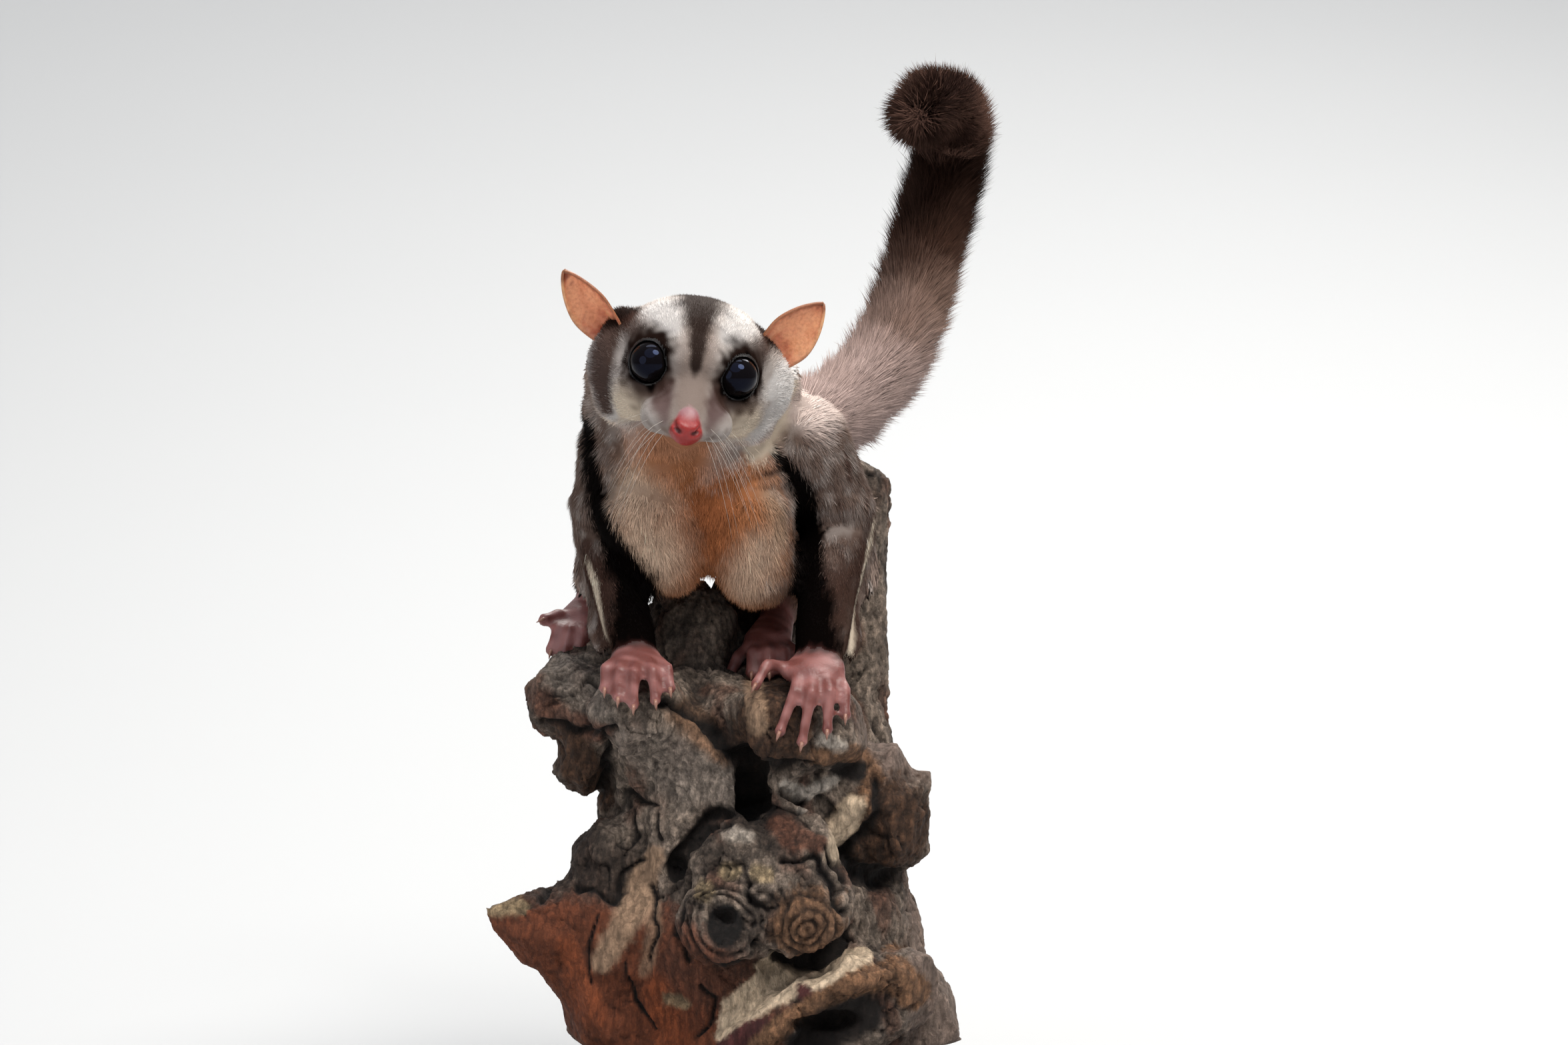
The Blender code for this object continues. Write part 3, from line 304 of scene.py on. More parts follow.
def mirrored(side, *spots):
    """Spots in the head's own axes, given for its left side, on either side."""
    return [head_point(side * x, y, z) for x, y, z in spots]


def marked(points, colour, ragged, spots, radii, paint, strength=1.0, soft=0.3):
    """Paints one mark along a chain of spots, with a soft and ragged edge."""
    share = near_line(points, spots, radii) * ragged
    return painted(colour, strength * smooth_step(1.0 + soft, 1.0 - soft, share), paint)


def front_marked(points, colour, ragged, spots, radii, paint, strength, soft, deepest):
    """Paints a mark placed by its x and z, on what lies in front of a depth."""
    share = near_line(points * np.array((1.0, 0.0, 1.0)), [(x, 0.0, z) for x, z in spots], radii) * ragged
    mask = smooth_step(1.0 + soft, 1.0 - soft, share)
    mask *= smooth_step(deepest + 2.0, deepest - 2.0, points[:, 1])
    return painted(colour, strength * mask, paint)


# Cheek marks seen from the front, in the head's own x and z, and how strong each stripe is

CHEEK_RIM = ((22.5, 3.0), (19.5, -3.0), (17.0, -8.5), (14.0, -13.5))
CHEEK_STRIPES = {
    "right": (((16.4, 5.0), (17.8, -1.0), (17.6, -7.0), (15.2, -12.5)), 0.95),
    "left": (((15.6, 3.0), (15.4, -3.0), (14.4, -8.0)), 0.2),
}


def head_colour(points, colour, ragged):
    """Crown stripe, eye rings, ear patches, cheek stripes and pale cheeks."""
    def mark(spots, radii, paint, strength=1.0, soft=0.35):
        return marked(points, colour, ragged, spots, radii, paint, strength, soft)

    def across(side, spots, radii, paint, strength, soft):
        """A mark placed by its view from the front, in the head's own x and z."""
        spots = [(side * x, z) for x, z in spots]
        return front_marked(local, colour, ragged, spots, radii, paint, strength, soft, 15.0)

    local = head_local(points)
    away = np.linalg.norm(local - HEAD_MIDDLE, axis=1)
    colour = painted(colour, smooth_step(25.0, 16.0, away * ragged), PALE)
    colour = mark([head_point(0, -12, -3), head_point(0, -8, 2), head_point(0, -2, 9)],
                  (5.0, 4.6, 3.0), GREY, 0.85, 0.6)
    colour = mark([head_point(0, -14, -11.5), head_point(0, -2, -16), head_point(0, 8, -18)],
                  (3.4, 7.0, 9.0), BUFF, 0.9, 0.4)
    for name, side in SIDES:
        eye = head_local(np.array([EYES[name]]))[0]
        eye = Vector((abs(eye[0]), eye[1], eye[2]))
        colour = mark(mirrored(side, (12.4, -5.0, -8.4), (11.5, -2.0, -11.5)), (4.8, 5.2), CREAM, 0.95, 0.5)
        colour = mark(mirrored(side, (8.6, 4.6, 11.0), (6.2, -2.6, 8.8)), (4.6, 2.2), WHITE, 0.9, 0.5)
        colour = mark(mirrored(side, (21.0, 15.0, -4.0), (18.6, 11.0, -13.0), (15.5, 6.5, -17.0)),
                      (2.8, 2.8, 2.4), CREAM, 0.9, 0.5)
        colour = across(side, CHEEK_RIM, (2.4, 2.2, 1.8, 1.2), WHITE, 0.85, 0.5)
        stripe, strength = CHEEK_STRIPES[name]
        colour = across(side, stripe, (2.0, 2.4, 2.2, 1.2), BROWN, strength, 0.5)
        # Brown line along the jaw, pressed in by carve_body: painted shadow under the cheek
        colour = mark(mirrored(side, (7.6, 0.0, -15.5), (11.1, 3.6, -17.0), (14.0, 6.0, -14.6)),
                      (0.5, 0.8, 0.5), BROWN, 0.6, 0.8)
        spread = EAR_SPREAD[name]
        colour = mark(mirrored(side, (spread - 1.6, 9.4, 6.2), (spread - 0.4, 11.6, 2.6)),
                      (3.1, 3.2), DARK, 1.0, 0.35)
        colour = mark(mirrored(side, (eye.x + 2.2, eye.y + 3.0, eye.z + 2.8), (13.4, 7.0, 5.4)), (3.4, 2.4),
                      BROWN, 0.9, 0.6)
        colour = mark(mirrored(side, (6.2, -8.0, -2.6), (5.2, -10.4, -4.8), (3.8, -13.6, -7.2)),
                      (2.8, 2.6, 1.6), MUZZLE, 0.9, 0.5)
        colour = mark(mirrored(side, (eye.x - 0.8, eye.y - 0.6, eye.z - 2.4)), (6.4,), BROWN, 0.9, 0.35)
        colour = mark(mirrored(side, (eye.x + 0.5, eye.y, eye.z + 1.0)), (6.3,), DARK, 1.0, 0.25)
        colour = mark(mirrored(side, tuple(eye)), (5.0,), BLACK, 1.0, 0.1)
        colour = mark(mirrored(side, (spread + 2.8, 14.6, -2.2)), (4.0,), WHITE, 1.0, 0.4)
    colour = front_marked(points, colour, ragged, [(3.4, 155.4), (6.4, 159.6), (9.4, 163.6)],
                          (1.6, 2.2, 2.2), WHITE, 1.0, 0.4, 30.0)
    return mark([head_point(0, -9.4, 1.6), head_point(-0.2, -5.3, 8.1), head_point(-0.4, -1.0, 10.4),
                 head_point(-0.6, 7.0, 12.6), head_point(0, 16, 12)],
                (0.9, 2.0, 2.9, 5.4, 5.6), DARK, 0.95, 0.5)


# Dark bands of the forelegs as seen from the front: spots as (x, z), then radii

DARK_BANDS = {
    "right": (((-33.6, 149.0), (-32.6, 138.0), (-31.0, 130.0), (-27.6, 123.0), (-23.8, 117.0),
               (-23.4, 104.0)),
              (1.2, 1.7, 2.3, 3.2, 4.4, 5.6)),
    "left": (((2.6, 144.0), (6.4, 140.4), (9.8, 135.0), (10.8, 128.0), (10.8, 119.0), (11.6, 104.0)),
             (0.6, 1.4, 2.3, 2.9, 3.7, 5.8)),
}

# The membrane's cream edge, from elbow to wrist

EDGE_LINES = {
    "right": ((-33.2, -2.0, 122.0), (-32.2, -8.4, 116.0), (-31.0, -13.0, 107.0), (-29.6, -18.0, 102.5)),
    "left": ((24.4, 4.0, 128.0), (23.2, 0.0, 122.0), (21.0, -5.0, 112.5), (19.6, -12.2, 102.6)),
}


def coat_colour(points):
    """The animal's markings, the same for skin and coat."""
    ragged = 1.0 + 0.12 * mottle(points, 3.0, 3) + 0.10 * mottle(points, 1.1, 4)

    def mark(spots, radii, paint, strength=1.0, soft=0.3):
        return marked(points, colour, ragged, spots, radii, paint, strength, soft)

    colour = np.tile(GREY, (len(points), 1))
    colour = painted(colour, 0.6 * smooth_step(-0.4, 0.6, mottle(points, 4.0, 5)), TAUPE)
    colour = painted(colour, 0.5 * smooth_step(0.1, 0.8, mottle(points, 2.6, 6)), PALE)
    colour = mark([(-6.0, 18.0, 160.0), (-3.0, 34.0, 158.0), (2.0, 54.0, 150.0)], (19.0, 20.0, 15.0),
                  BACK_PALE, 0.75, 0.4)
    colour = mark([(-12.5, 0.0, 163.0), (-9.0, 12.0, 161.0), (-4.0, 30.0, 159.5), (3.0, 56.0, 150.0)],
                  (3.8, 3.4, 4.0, 2.6), DARK, 1.0, 0.4)
    colour = mark([(-12.8, -14.0, 148.0), (-11.5, -12.0, 126.0), (-8.0, 4.0, 114.0), (-2.0, 40.0, 112.0)],
                  (14.0, 17.0, 16.0, 15.0), BUFF, 1.0, 0.25)
    # Deeper buff on the throat and the middle of the chest: painted shade over the chest's buff fur
    colour = mark([(-12.8, -19.0, 150.0), (-11.4, -19.0, 138.0), (-10.0, -16.0, 120.0)],
                  (11.0, 8.0, 6.0), BUFF_IN_SHADE, 0.8, 0.9)
    # Cream patches on the chest's lobes: pale fur with a painted highlight on it
    colour = mark([(-23.0, -12.0, 136.0), (-21.0, -14.0, 122.0)], (6.0, 7.0), CREAM, 0.6, 0.9)
    colour = mark([(-2.0, -14.0, 117.0), (1.0, -14.0, 124.0)], (5.0, 4.0), CREAM, 0.5, 0.8)
    # Dark crease lines on the left upper arm: painted shade of its folds, laid on in brown below
    creases = smooth_step(0.45, 0.9, mottle(points * np.array((1.0, 1.0, 0.35)), 2.0, 45))
    on_arm = smooth_step(12.0, 15.0, points[:, 0]) * smooth_step(116.0, 121.0, points[:, 2])
    on_arm *= smooth_step(146.0, 141.0, points[:, 2]) * smooth_step(14.0, 9.0, points[:, 1])
    folds = 0.75 * creases * on_arm
    streaks = smooth_step(0.2, 0.9, mottle(points * np.array((1.0, 1.0, 0.3)), 1.4, 43))
    low = smooth_step(150.0, 140.0, points[:, 2]) * smooth_step(-4.0, -10.0, points[:, 1])
    colour = painted(colour, 0.35 * streaks * low, CHEST_STREAK)
    # Painted shade in the chest's furrow
    colour = mark([(-11.8, -17.5, 139.0), (-11.2, -16.0, 126.0), (-9.8, -13.0, 117.0)], (1.2, 1.9, 1.5),
                  CHEST_FURROW_SHADE, 0.9, 0.8)
    for name, side in SIDES:
        arm = [Vector(spot) for spot in FORELEGS[name]]
        colour = mark(arm[:3], (12.6, 9.8, 7.6), TAUPE, 0.75, 0.2)
        upper = near_line(points, arm[:3], (12.6, 9.8, 7.6))
        patchy = smooth_step(0.0, 0.8, mottle(points, 2.4, 41)) * smooth_step(1.1, 0.9, upper)
        colour = painted(colour, 0.35 * patchy, PALE)
        colour = mark([arm[1] + Vector((side * 1.0, -8.0, -8.0)), arm[2] + Vector((0.0, -2.0, 7.0)),
                       arm[2] + Vector((0.0, -2.0, 0.0))], (5.4, 6.4, 6.0), BROWN * 0.9, 0.9, 0.4)
        colour = mark(HINDLEGS[name][1:4], (10.0, 6.4, 4.6), TAUPE, 0.8, 0.2)
        hem = near_line(points, EDGE_LINES[name], (2.6, 3.2, 3.0, 2.6))
        colour = painted(colour, 0.8 * smooth_step(1.4, 1.0, hem), BROWN)
        colour = mark(EDGE_LINES[name], (0.9, 1.1, 1.2, 1.1), CREAM, 1.0, 0.5)
    # Painted shade of the left upper arm's folds
    colour = painted(colour, folds, BROWN)
    colour = mark([(-19.6, -14.0, 113.0), (-19.0, -17.0, 105.0)], (1.2, 1.2), BUFF, 0.8, 0.3)
    # Dark lines where the shoulders fold into the chest, pressed in by carve_body: painted shade in the folds
    colour = mark([(-31.0, -9.6, 146.0), (-24.0, -13.7, 140.0)], (0.5, 0.4), DARK, 0.8, 0.6)
    colour = mark([(-1.5, -16.0, 138.0), (6.5, -8.7, 140.0)], (0.6, 1.0), DARK, 0.9, 0.6)
    colour = mark([(4.3, -13.2, 134.0), (5.2, -12.5, 127.0)], (3.2, 2.2), CHEST_SIDE, 0.6, 0.7)
    for name, _ in SIDES:
        spots, radii = DARK_BANDS[name]
        torn = ragged * (1.0 + 0.22 * mottle(points, 0.9, 44))
        colour = front_marked(points, colour, torn, spots, radii, BLACK, 1.0, 0.3, 8.0)
    colour = front_marked(points, colour, ragged, [(7.6, 153.6), (13.0, 150.0)], (3.6, 4.0),
                          SHOULDER_PALE, 0.85, 0.6, 44.0)
    colour = head_colour(points, colour, ragged)
    tail = near_line(points, TAIL_POINTS, [17.0] * len(TAIL_POINTS))
    on_tail = smooth_step(1.2, 0.9, tail) * smooth_step(56.0, 64.0, points[:, 1])
    return painted(colour, on_tail, tail_colour(points))


def tail_colour(points):
    """Pale taupe at the root, through brown, to dark brown, and lighter brown on the curl's top: painted
    light from above.
    """
    height = points[:, 2] + 4.0 * mottle(points, 8.0, 8) + 2.0 * mottle(points, 3.0, 9)
    colour = np.tile(TAIL_ROOT, (len(points), 1))
    colour = painted(colour, smooth_step(146.0, 168.0, height), TAIL_GREY)
    colour = painted(colour, smooth_step(162.0, 180.0, height), TAIL_BROWN)
    colour = painted(colour, smooth_step(176.0, 192.0, height), TAIL_DARK)
    # The curl's top: painted light from above on its brown fur
    return painted(colour, smooth_step(196.0, 206.0, height), TAIL_TIP_LIT)


def bareness(points):
    """1 on bare skin of hands, feet, nose and lids, 0 under the coat."""
    bare = np.zeros(len(points))
    for name, _ in SIDES:
        for spots, start in ((FORELEGS[name], 2.6), (HINDLEGS[name], -1.0)):
            wrist = np.array(spots[-2])
            reach = unit(np.array([spots[-1]]) - wrist)[0]
            past = (points - wrist) @ reach + 0.6 * mottle(points, 1.6, 23)
            close = np.linalg.norm(points - (wrist + 7.0 * reach), axis=1)
            bare = np.maximum(bare, smooth_step(start, start + 4.0, past) * smooth_step(21.0, 17.0, close))
    nose = near_line(points, [head_point(0, -15.4, -5.2), head_point(0, -NOSE_REACH, -7.6)], (2.1, 3.5))
    bridge = near_line(points, [head_point(0, -13.4, -4.2), head_point(0, -15.8, -5.6)], (0.9, 2.3))
    bare = np.maximum(bare, smooth_step(1.15, 0.9, nose))
    bare = np.maximum(bare, smooth_step(1.5, 0.6, bridge) * 0.9)
    for eye in EYES.values():
        away = np.linalg.norm(points - np.array(eye), axis=1)
        bare = np.maximum(bare, smooth_step(EYE_RADIUS + 0.9, EYE_RADIUS + 0.4, away))
    return bare


# Meshes

def piece_from(name, bm, scale=MM):
    """A piece from a bmesh worked in millimetres."""
    mesh = bpy.data.meshes.new(name)
    bmesh.ops.scale(bm, vec=(scale, scale, scale), verts=bm.verts[:])
    bm.to_mesh(mesh)
    bm.free()
    return linked(name, mesh)


def linked(name, mesh):
    """A new piece of the scene from a mesh."""
    obj = bpy.data.objects.new(name, mesh)
    bpy.context.scene.collection.objects.link(obj)
    return obj


def applied(obj):
    """Applies the modifiers of a piece."""
    graph = bpy.context.evaluated_depsgraph_get()
    mesh = bpy.data.meshes.new_from_object(obj.evaluated_get(graph))
    obj.modifiers.clear()
    old = obj.data
    obj.data = mesh
    bpy.data.meshes.remove(old)
    return obj


def removed(obj):
    """Takes a helper piece and its mesh away."""
    mesh = obj.data
    bpy.data.objects.remove(obj)
    bpy.data.meshes.remove(mesh)


def spots_of(mesh):
    co = np.empty(len(mesh.vertices) * 3, np.float32)
    mesh.vertices.foreach_get("co", co)
    return co.reshape(-1, 3).astype(float)


def normals_of(mesh):
    normals = np.empty(len(mesh.vertices) * 3, np.float32)
    mesh.vertex_normals.foreach_get("vector", normals)
    return normals.reshape(-1, 3).astype(float)


def edges_of(mesh):
    pairs = np.empty(len(mesh.edges) * 2, np.int32)
    mesh.edges.foreach_get("vertices", pairs)
    return pairs.reshape(-1, 2)


def set_spots(mesh, spots):
    mesh.vertices.foreach_set("co", spots.astype(np.float32).ravel())
    mesh.update()


def set_value(mesh, name, values):
    """Keeps one number for each vertex, for the materials to read."""
    store = mesh.attributes.new(name, 'FLOAT', 'POINT')
    store.data.foreach_set("value", values.astype(np.float32))


def shade_smooth(mesh):
    mesh.polygons.foreach_set("use_smooth", np.ones(len(mesh.polygons), bool))


def fused(piece, voxel):
    """Makes a piece one closed surface of even small faces."""
    fuse = piece.modifiers.new("Fuse", 'REMESH')
    fuse.mode = 'VOXEL'
    fuse.voxel_size = voxel
    applied(piece)


def thinned(piece, triangles, kept=""):
    """Takes faces out down to a number of triangles, fewer of them where a vertex group says."""
    thin = piece.modifiers.new("Thin", 'DECIMATE')
    if kept:
        thin.vertex_group = kept
        thin.invert_vertex_group = True
        thin.vertex_group_factor = KEPT_FACTOR
    thin.ratio = min(1.0, triangles / (2.0 * len(piece.data.polygons)))
    applied(piece)


def from_box(points, node):
    """Distance in millimetres from the box round a CAD node."""
    low, high = (np.array(corner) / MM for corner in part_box(node))
    outside = np.abs(points - (low + high) / 2.0) - (high - low) / 2.0
    return np.linalg.norm(np.maximum(outside, 0.0), axis=1)


def relaxed(values, pairs, share, rounds):
    """Evens out values along the edges of a mesh, by a share for each vertex."""
    count = np.bincount(pairs.ravel(), minlength=len(values)).astype(float)[:, None]
    for _ in range(rounds):
        total = np.zeros_like(values)
        for column in range(values.shape[1]):
            total[:, column] = (np.bincount(pairs[:, 0], values[pairs[:, 1], column], len(values))
                                + np.bincount(pairs[:, 1], values[pairs[:, 0], column], len(values)))
        values = values + (total / np.maximum(count, 1.0) - values) * share[:, None]
    return values


def keep_largest(obj):
    """Drops every surface but the one with most faces."""
    bm = bmesh.new()
    bm.from_mesh(obj.data)
    left = set(bm.faces)
    groups = []
    while left:
        seed = left.pop()
        group = [seed]
        for face in group:
            for edge in face.edges:
                for other in edge.link_faces:
                    if other in left:
                        left.remove(other)
                        group.append(other)
        groups.append(group)
    groups.sort(key=len)
    stray = [face for group in groups[:-1] for face in group]
    if stray:
        bmesh.ops.delete(bm, geom=stray, context='FACES')
    bm.to_mesh(obj.data)
    bm.free()


def grow_tube(bm, path, radii, sides):
    """Adds a closed round tube grown ring by ring along a path."""
    path = [Vector(spot) for spot in path]
    heading = (path[1] - path[0]).normalized()
    place = Matrix.Translation(path[0]) @ heading.to_track_quat('Z', 'Y').to_matrix().to_4x4()
    made = bmesh.ops.create_circle(bm, cap_ends=True, segments=sides, radius=radii[0], matrix=place)
    ring = made["verts"]
    face = ring[0].link_faces[0]
    if face.normal.dot(heading) > 0.0:
        face.normal_flip()
    edges = list(face.edges)
    for number in range(1, len(path)):
        grown = bmesh.ops.extrude_edge_only(bm, edges=edges)["geom"]
        verts = [item for item in grown if isinstance(item, bmesh.types.BMVert)]
        edges = [item for item in grown if isinstance(item, bmesh.types.BMEdge)]
        following = path[min(number + 1, len(path) - 1)] - path[number - 1]
        turn = heading.rotation_difference(following.normalized()).to_matrix()
        heading = following.normalized()
        size = radii[number] / radii[number - 1]
        for vert in verts:
            vert.co = path[number] + turn @ ((vert.co - path[number - 1]) * size)
    bmesh.ops.contextual_create(bm, geom=edges)


def smooth_path(points, steps):
    """Spots along a smooth curve through the given ones."""
    points = [Vector(point) for point in points]
    ends = [points[0] * 2 - points[1]] + points + [points[-1] * 2 - points[-2]]
    path = []
    for a, b, c, d in zip(ends, ends[1:], ends[2:], ends[3:]):
        for step in range(steps):
            t = step / steps
            path.append(0.5 * (2 * b + (c - a) * t + (2 * a - 5 * b + 4 * c - d) * t ** 2
                               + (3 * b - a - 3 * c + d) * t ** 3))
    path.append(points[-1])
    return path


# Materials

def new_material(name, roughness, colour=(0.5, 0.5, 0.5), metallic=0.0):
    """A material with its node tree and its shader."""
    look = bpy.data.materials.new(name)
    look.use_nodes = True
    shader = look.node_tree.nodes["Principled BSDF"]
    shader.inputs["Base Color"].default_value = (*colour, 1.0)
    shader.inputs["Roughness"].default_value = roughness
    shader.inputs["Metallic"].default_value = metallic
    return look, look.node_tree, shader


def add_node(tree, kind, **settings):
    node = tree.nodes.new(kind)
    for key, value in settings.items():
        if key in node.inputs:
            node.inputs[key].default_value = value
        else:
            setattr(node, key, value)
    return node


def noise_on_object(tree, scale, detail=4.0, roughness=0.6):
    """A noise pattern fixed to the piece, its scale per metre."""
    place = add_node(tree, 'ShaderNodeTexCoord')
    pattern = add_node(tree, 'ShaderNodeTexNoise', Scale=scale, Detail=detail, Roughness=roughness)
    tree.links.new(place.outputs["Object"], pattern.inputs["Vector"])
    return pattern


def add_bump(tree, shader, height, strength, distance):
    """Fine relief from a pattern, its distance in metres."""
    bump = add_node(tree, 'ShaderNodeBump', Strength=strength, Distance=distance)
    tree.links.new(height, bump.inputs["Height"])
    tree.links.new(bump.outputs["Normal"], shader.inputs["Normal"])
    return bump


def take_markings(tree, shader):
    """Links the painted colours of a piece to its shader."""
    markings = add_node(tree, 'ShaderNodeAttribute', attribute_name="markings")
    tree.links.new(markings.outputs["Color"], shader.inputs["Base Color"])


def coat_material():
    """Soft fur that takes its markings from the tufts."""
    look, tree, shader = new_material("coat_fur", 0.72)
    take_markings(tree, shader)
    shader.inputs["Specular IOR Level"].default_value = 0.03
    return look


def underfur_material():
    """The short dense fur under the tufts."""
    look, tree, shader = new_material("underfur", 0.85)
    take_markings(tree, shader)
    fine = noise_on_object(tree, 1900.0, 3.0)
    add_bump(tree, shader, fine.outputs["Fac"], 0.35, 0.0004)
    shader.inputs["Specular IOR Level"].default_value = 0.0
    return look


def bare_skin_material():
    """Damp bare skin of nose, lids, hands and feet, with fine creases."""
    look, tree, shader = new_material("bare_skin", 0.42)
    take_markings(tree, shader)
    bare = add_node(tree, 'ShaderNodeAttribute', attribute_name="bare")
    creases = noise_on_object(tree, 1500.0, 5.0)
    add_bump(tree, shader, creases.outputs["Fac"], 0.4, 0.0003)
    gloss = add_node(tree, 'ShaderNodeMapRange')
    gloss.inputs["To Min"].default_value = 0.85
    gloss.inputs["To Max"].default_value = 0.40
    tree.links.new(bare.outputs["Fac"], gloss.inputs["Value"])
    tree.links.new(gloss.outputs["Result"], shader.inputs["Roughness"])
    depth = add_node(tree, 'ShaderNodeMath', operation='MULTIPLY')
    depth.inputs[1].default_value = 0.3
    tree.links.new(bare.outputs["Fac"], depth.inputs[0])
    tree.links.new(depth.outputs["Value"], shader.inputs["Subsurface Weight"])
    shader.inputs["Subsurface Radius"].default_value = (0.0016, 0.0006, 0.0004)
    shader.inputs["Subsurface Scale"].default_value = 1.0
    shader.inputs["Specular IOR Level"].default_value = 0.4
    return look


# Skin

def flesh_copy(nodes):
    """One mesh, in millimetres, of the closed CAD solids, each pushed out to bridge the gaps."""
    bm = bmesh.new()
    for node in nodes:
        part = bmesh.new()
        part.from_mesh(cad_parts[node].data)
        bmesh.ops.scale(part, vec=(1.0 / MM,) * 3, verts=part.verts[:])
        bmesh.ops.remove_doubles(part, verts=part.verts[:], dist=0.001)
        part.normal_update()
        moves = [vert.normal * GAP_FILL for vert in part.verts]
        for vert, move in zip(part.verts, moves):
            vert.co += move
        mesh = bpy.data.meshes.new("flesh")
        part.to_mesh(mesh)
        part.free()
        bm.from_mesh(mesh)
        bpy.data.meshes.remove(mesh)
    return bm


def coat_depth(points, lengths):
    """How far the skin lies inside the coat's outer form."""
    depth = np.clip(DEPTH_SHARE * lengths - 0.1, DEPTH_LEAST, DEPTH_MOST)
    thin = np.full(len(points), FAR)
    for name, _ in SIDES:
        thin = np.minimum(thin, from_box(points, "patagium_" + name))
    depth *= 0.15 + 0.85 * smooth_step(0.0, 3.0, thin)
    bald = bareness(points)
    palms = smooth_step(118.0, 108.0, points[:, 2]) * BARE_SHRINK
    return GAP_FILL + depth * (1.0 - bald) + palms * bald


def carve_face(points, normals):
    """Opens the lids round the eyes, sinks the mouth and nostrils and splits the lip."""
    for eye in EYES.values():
        offset = points - np.array(eye)
        away = np.linalg.norm(offset, axis=1)
        clear = EYE_RADIUS + 0.06
        inside = away < clear
        points[inside] = np.array(eye) + offset[inside] * (clear / away[inside])[:, None]
    line = []
    for step in range(-10, 11):
        along = step / 10.0
        line.append(head_point(along * 6.2, 1.7 - NOSE_REACH + 12.0 * abs(along) ** 1.5,
                               -10.9 - 0.4 * math.cos(along * 3.0)))
    mouth = near_line(points, line, [1.0] * len(line))
    on_front = head_local(points)
    keep = smooth_step(4.0, 2.5, np.abs(on_front[:, 2] + 10.9))
    points -= normals * (0.75 * np.exp(-(mouth / 0.42) ** 2) * keep)[:, None]
    lip = near_line(points, [head_point(0, -2.1 - NOSE_REACH, -9.4), head_point(0, -0.4 - NOSE_REACH, -11.2)],
                    (1.0, 1.0))
    points -= normals * (0.5 * np.exp(-(lip / 0.3) ** 2))[:, None]
    for _, side in SIDES:
        slit = near_line(points, [head_point(side * 1.3, -1.4 - NOSE_REACH, -7.6),
                                  head_point(side * 2.2, -1.0 - NOSE_REACH, -6.9),
                                  head_point(side * 2.9, 0.4 - NOSE_REACH, -6.4)], (1.0, 1.0, 1.0))
        points -= normals * (1.1 * np.exp(-(slit / 0.5) ** 2))[:, None]
        wing = near_line(points, [head_point(side * 1.7, -0.8 - NOSE_REACH, -5.9)], (1.0,))
        points += normals * (0.35 * np.exp(-(wing / 1.1) ** 2))[:, None]
    return points


def on_neck(points):
    """1 round the join of head and neck, whose crease the coat fills, 0 away from it."""
    local = head_local(points)
    ring = np.exp(-((local[:, 1] - 13.0) / 6.0) ** 2)
    outside = smooth_step(10.0, 13.0, np.hypot(local[:, 0], local[:, 2]))
    return ring * outside * smooth_step(30.0, 24.0, np.linalg.norm(local, axis=1))


def carve_body(points, normals):
    """Presses the chest's furrow, the folds at the shoulders and the jaw line into the skin."""
    furrows = [
        ([(-11.8, -18.0, 141.0), (-11.3, -17.0, 128.0), (-9.8, -14.0, 117.0)], 2.4, 2.4),
        ([(-31.0, -9.6, 146.0), (-24.0, -13.7, 140.0)], 0.9, 0.7),
        ([(-1.5, -16.0, 138.0), (6.5, -8.7, 140.0)], 0.9, 0.7),
        ([(-4.0, -16.0, 134.0), (0.0, -15.5, 126.0), (2.0, -14.5, 119.0)], 1.4, 0.6),
    ]
    for _, side in SIDES:
        furrows.append((mirrored(side, (7.3, 0.5, -15.0), (11.1, 3.6, -17.1), (14.4, 6.0, -14.4)), 1.2, 1.1))
    for spots, half_width, depth in furrows:
        share = near_line(points, spots, [half_width] * len(spots))
        points = points - normals * (depth * np.exp(-share ** 2))[:, None]
    return points


def build_skin(lie):
    """The animal's one skin, in place of every node of flesh."""
    bm = flesh_copy(FLESH)
    path = smooth_path(TAIL_POINTS, 6)
    last = len(path) - 1
    grow_tube(bm, path, [TAIL_CORE * (1.15 - 0.45 * (step / last) ** 2) for step in range(last + 1)], 20)
    bmesh.ops.create_icosphere(bm, subdivisions=3, radius=TAIL_CORE * 0.7,
                               matrix=Matrix.Translation(path[-1]))
    skin = piece_from("skin", bm, 1.0)
    fused(skin, SKIN_VOXEL)

    mesh = skin.data
    pairs = edges_of(mesh)
    points = spots_of(mesh)
    bare = bareness(points)
    points = relaxed(points, pairs, 0.5 * (1.0 - 0.55 * bare), 16)
    points = relaxed(points, pairs, 0.5 * on_neck(points), 90)
    set_spots(mesh, points)
    _, lengths = lie(points)
    depth = coat_depth(points, lengths)
    depth = relaxed(depth[:, None], pairs, np.full(len(points), 0.6), 12)[:, 0]
    points -= normals_of(mesh) * depth[:, None]
    set_spots(mesh, points)
    points = carve_body(points, normals_of(mesh))
    set_spots(mesh, points)
    points = carve_face(points, normals_of(mesh))
    set_spots(mesh, points)

    group = skin.vertex_groups.new(name="detail")
    local = head_local(points)
    face = smooth_step(8.0, 2.0, local[:, 1]) * smooth_step(26.0, 22.0, np.linalg.norm(local, axis=1))
    detail = np.maximum(bareness(points), face)
    for level in range(1, 11):
        chosen = np.nonzero(np.round(detail * 10) == level)[0]
        if len(chosen):
            group.add(chosen.tolist(), level / 10.0, 'REPLACE')
    thinned(skin, SKIN_TRIANGLES, "detail")
    skin.vertex_groups.clear()
    keep_largest(skin)
    finished_skin(skin)
    return skin


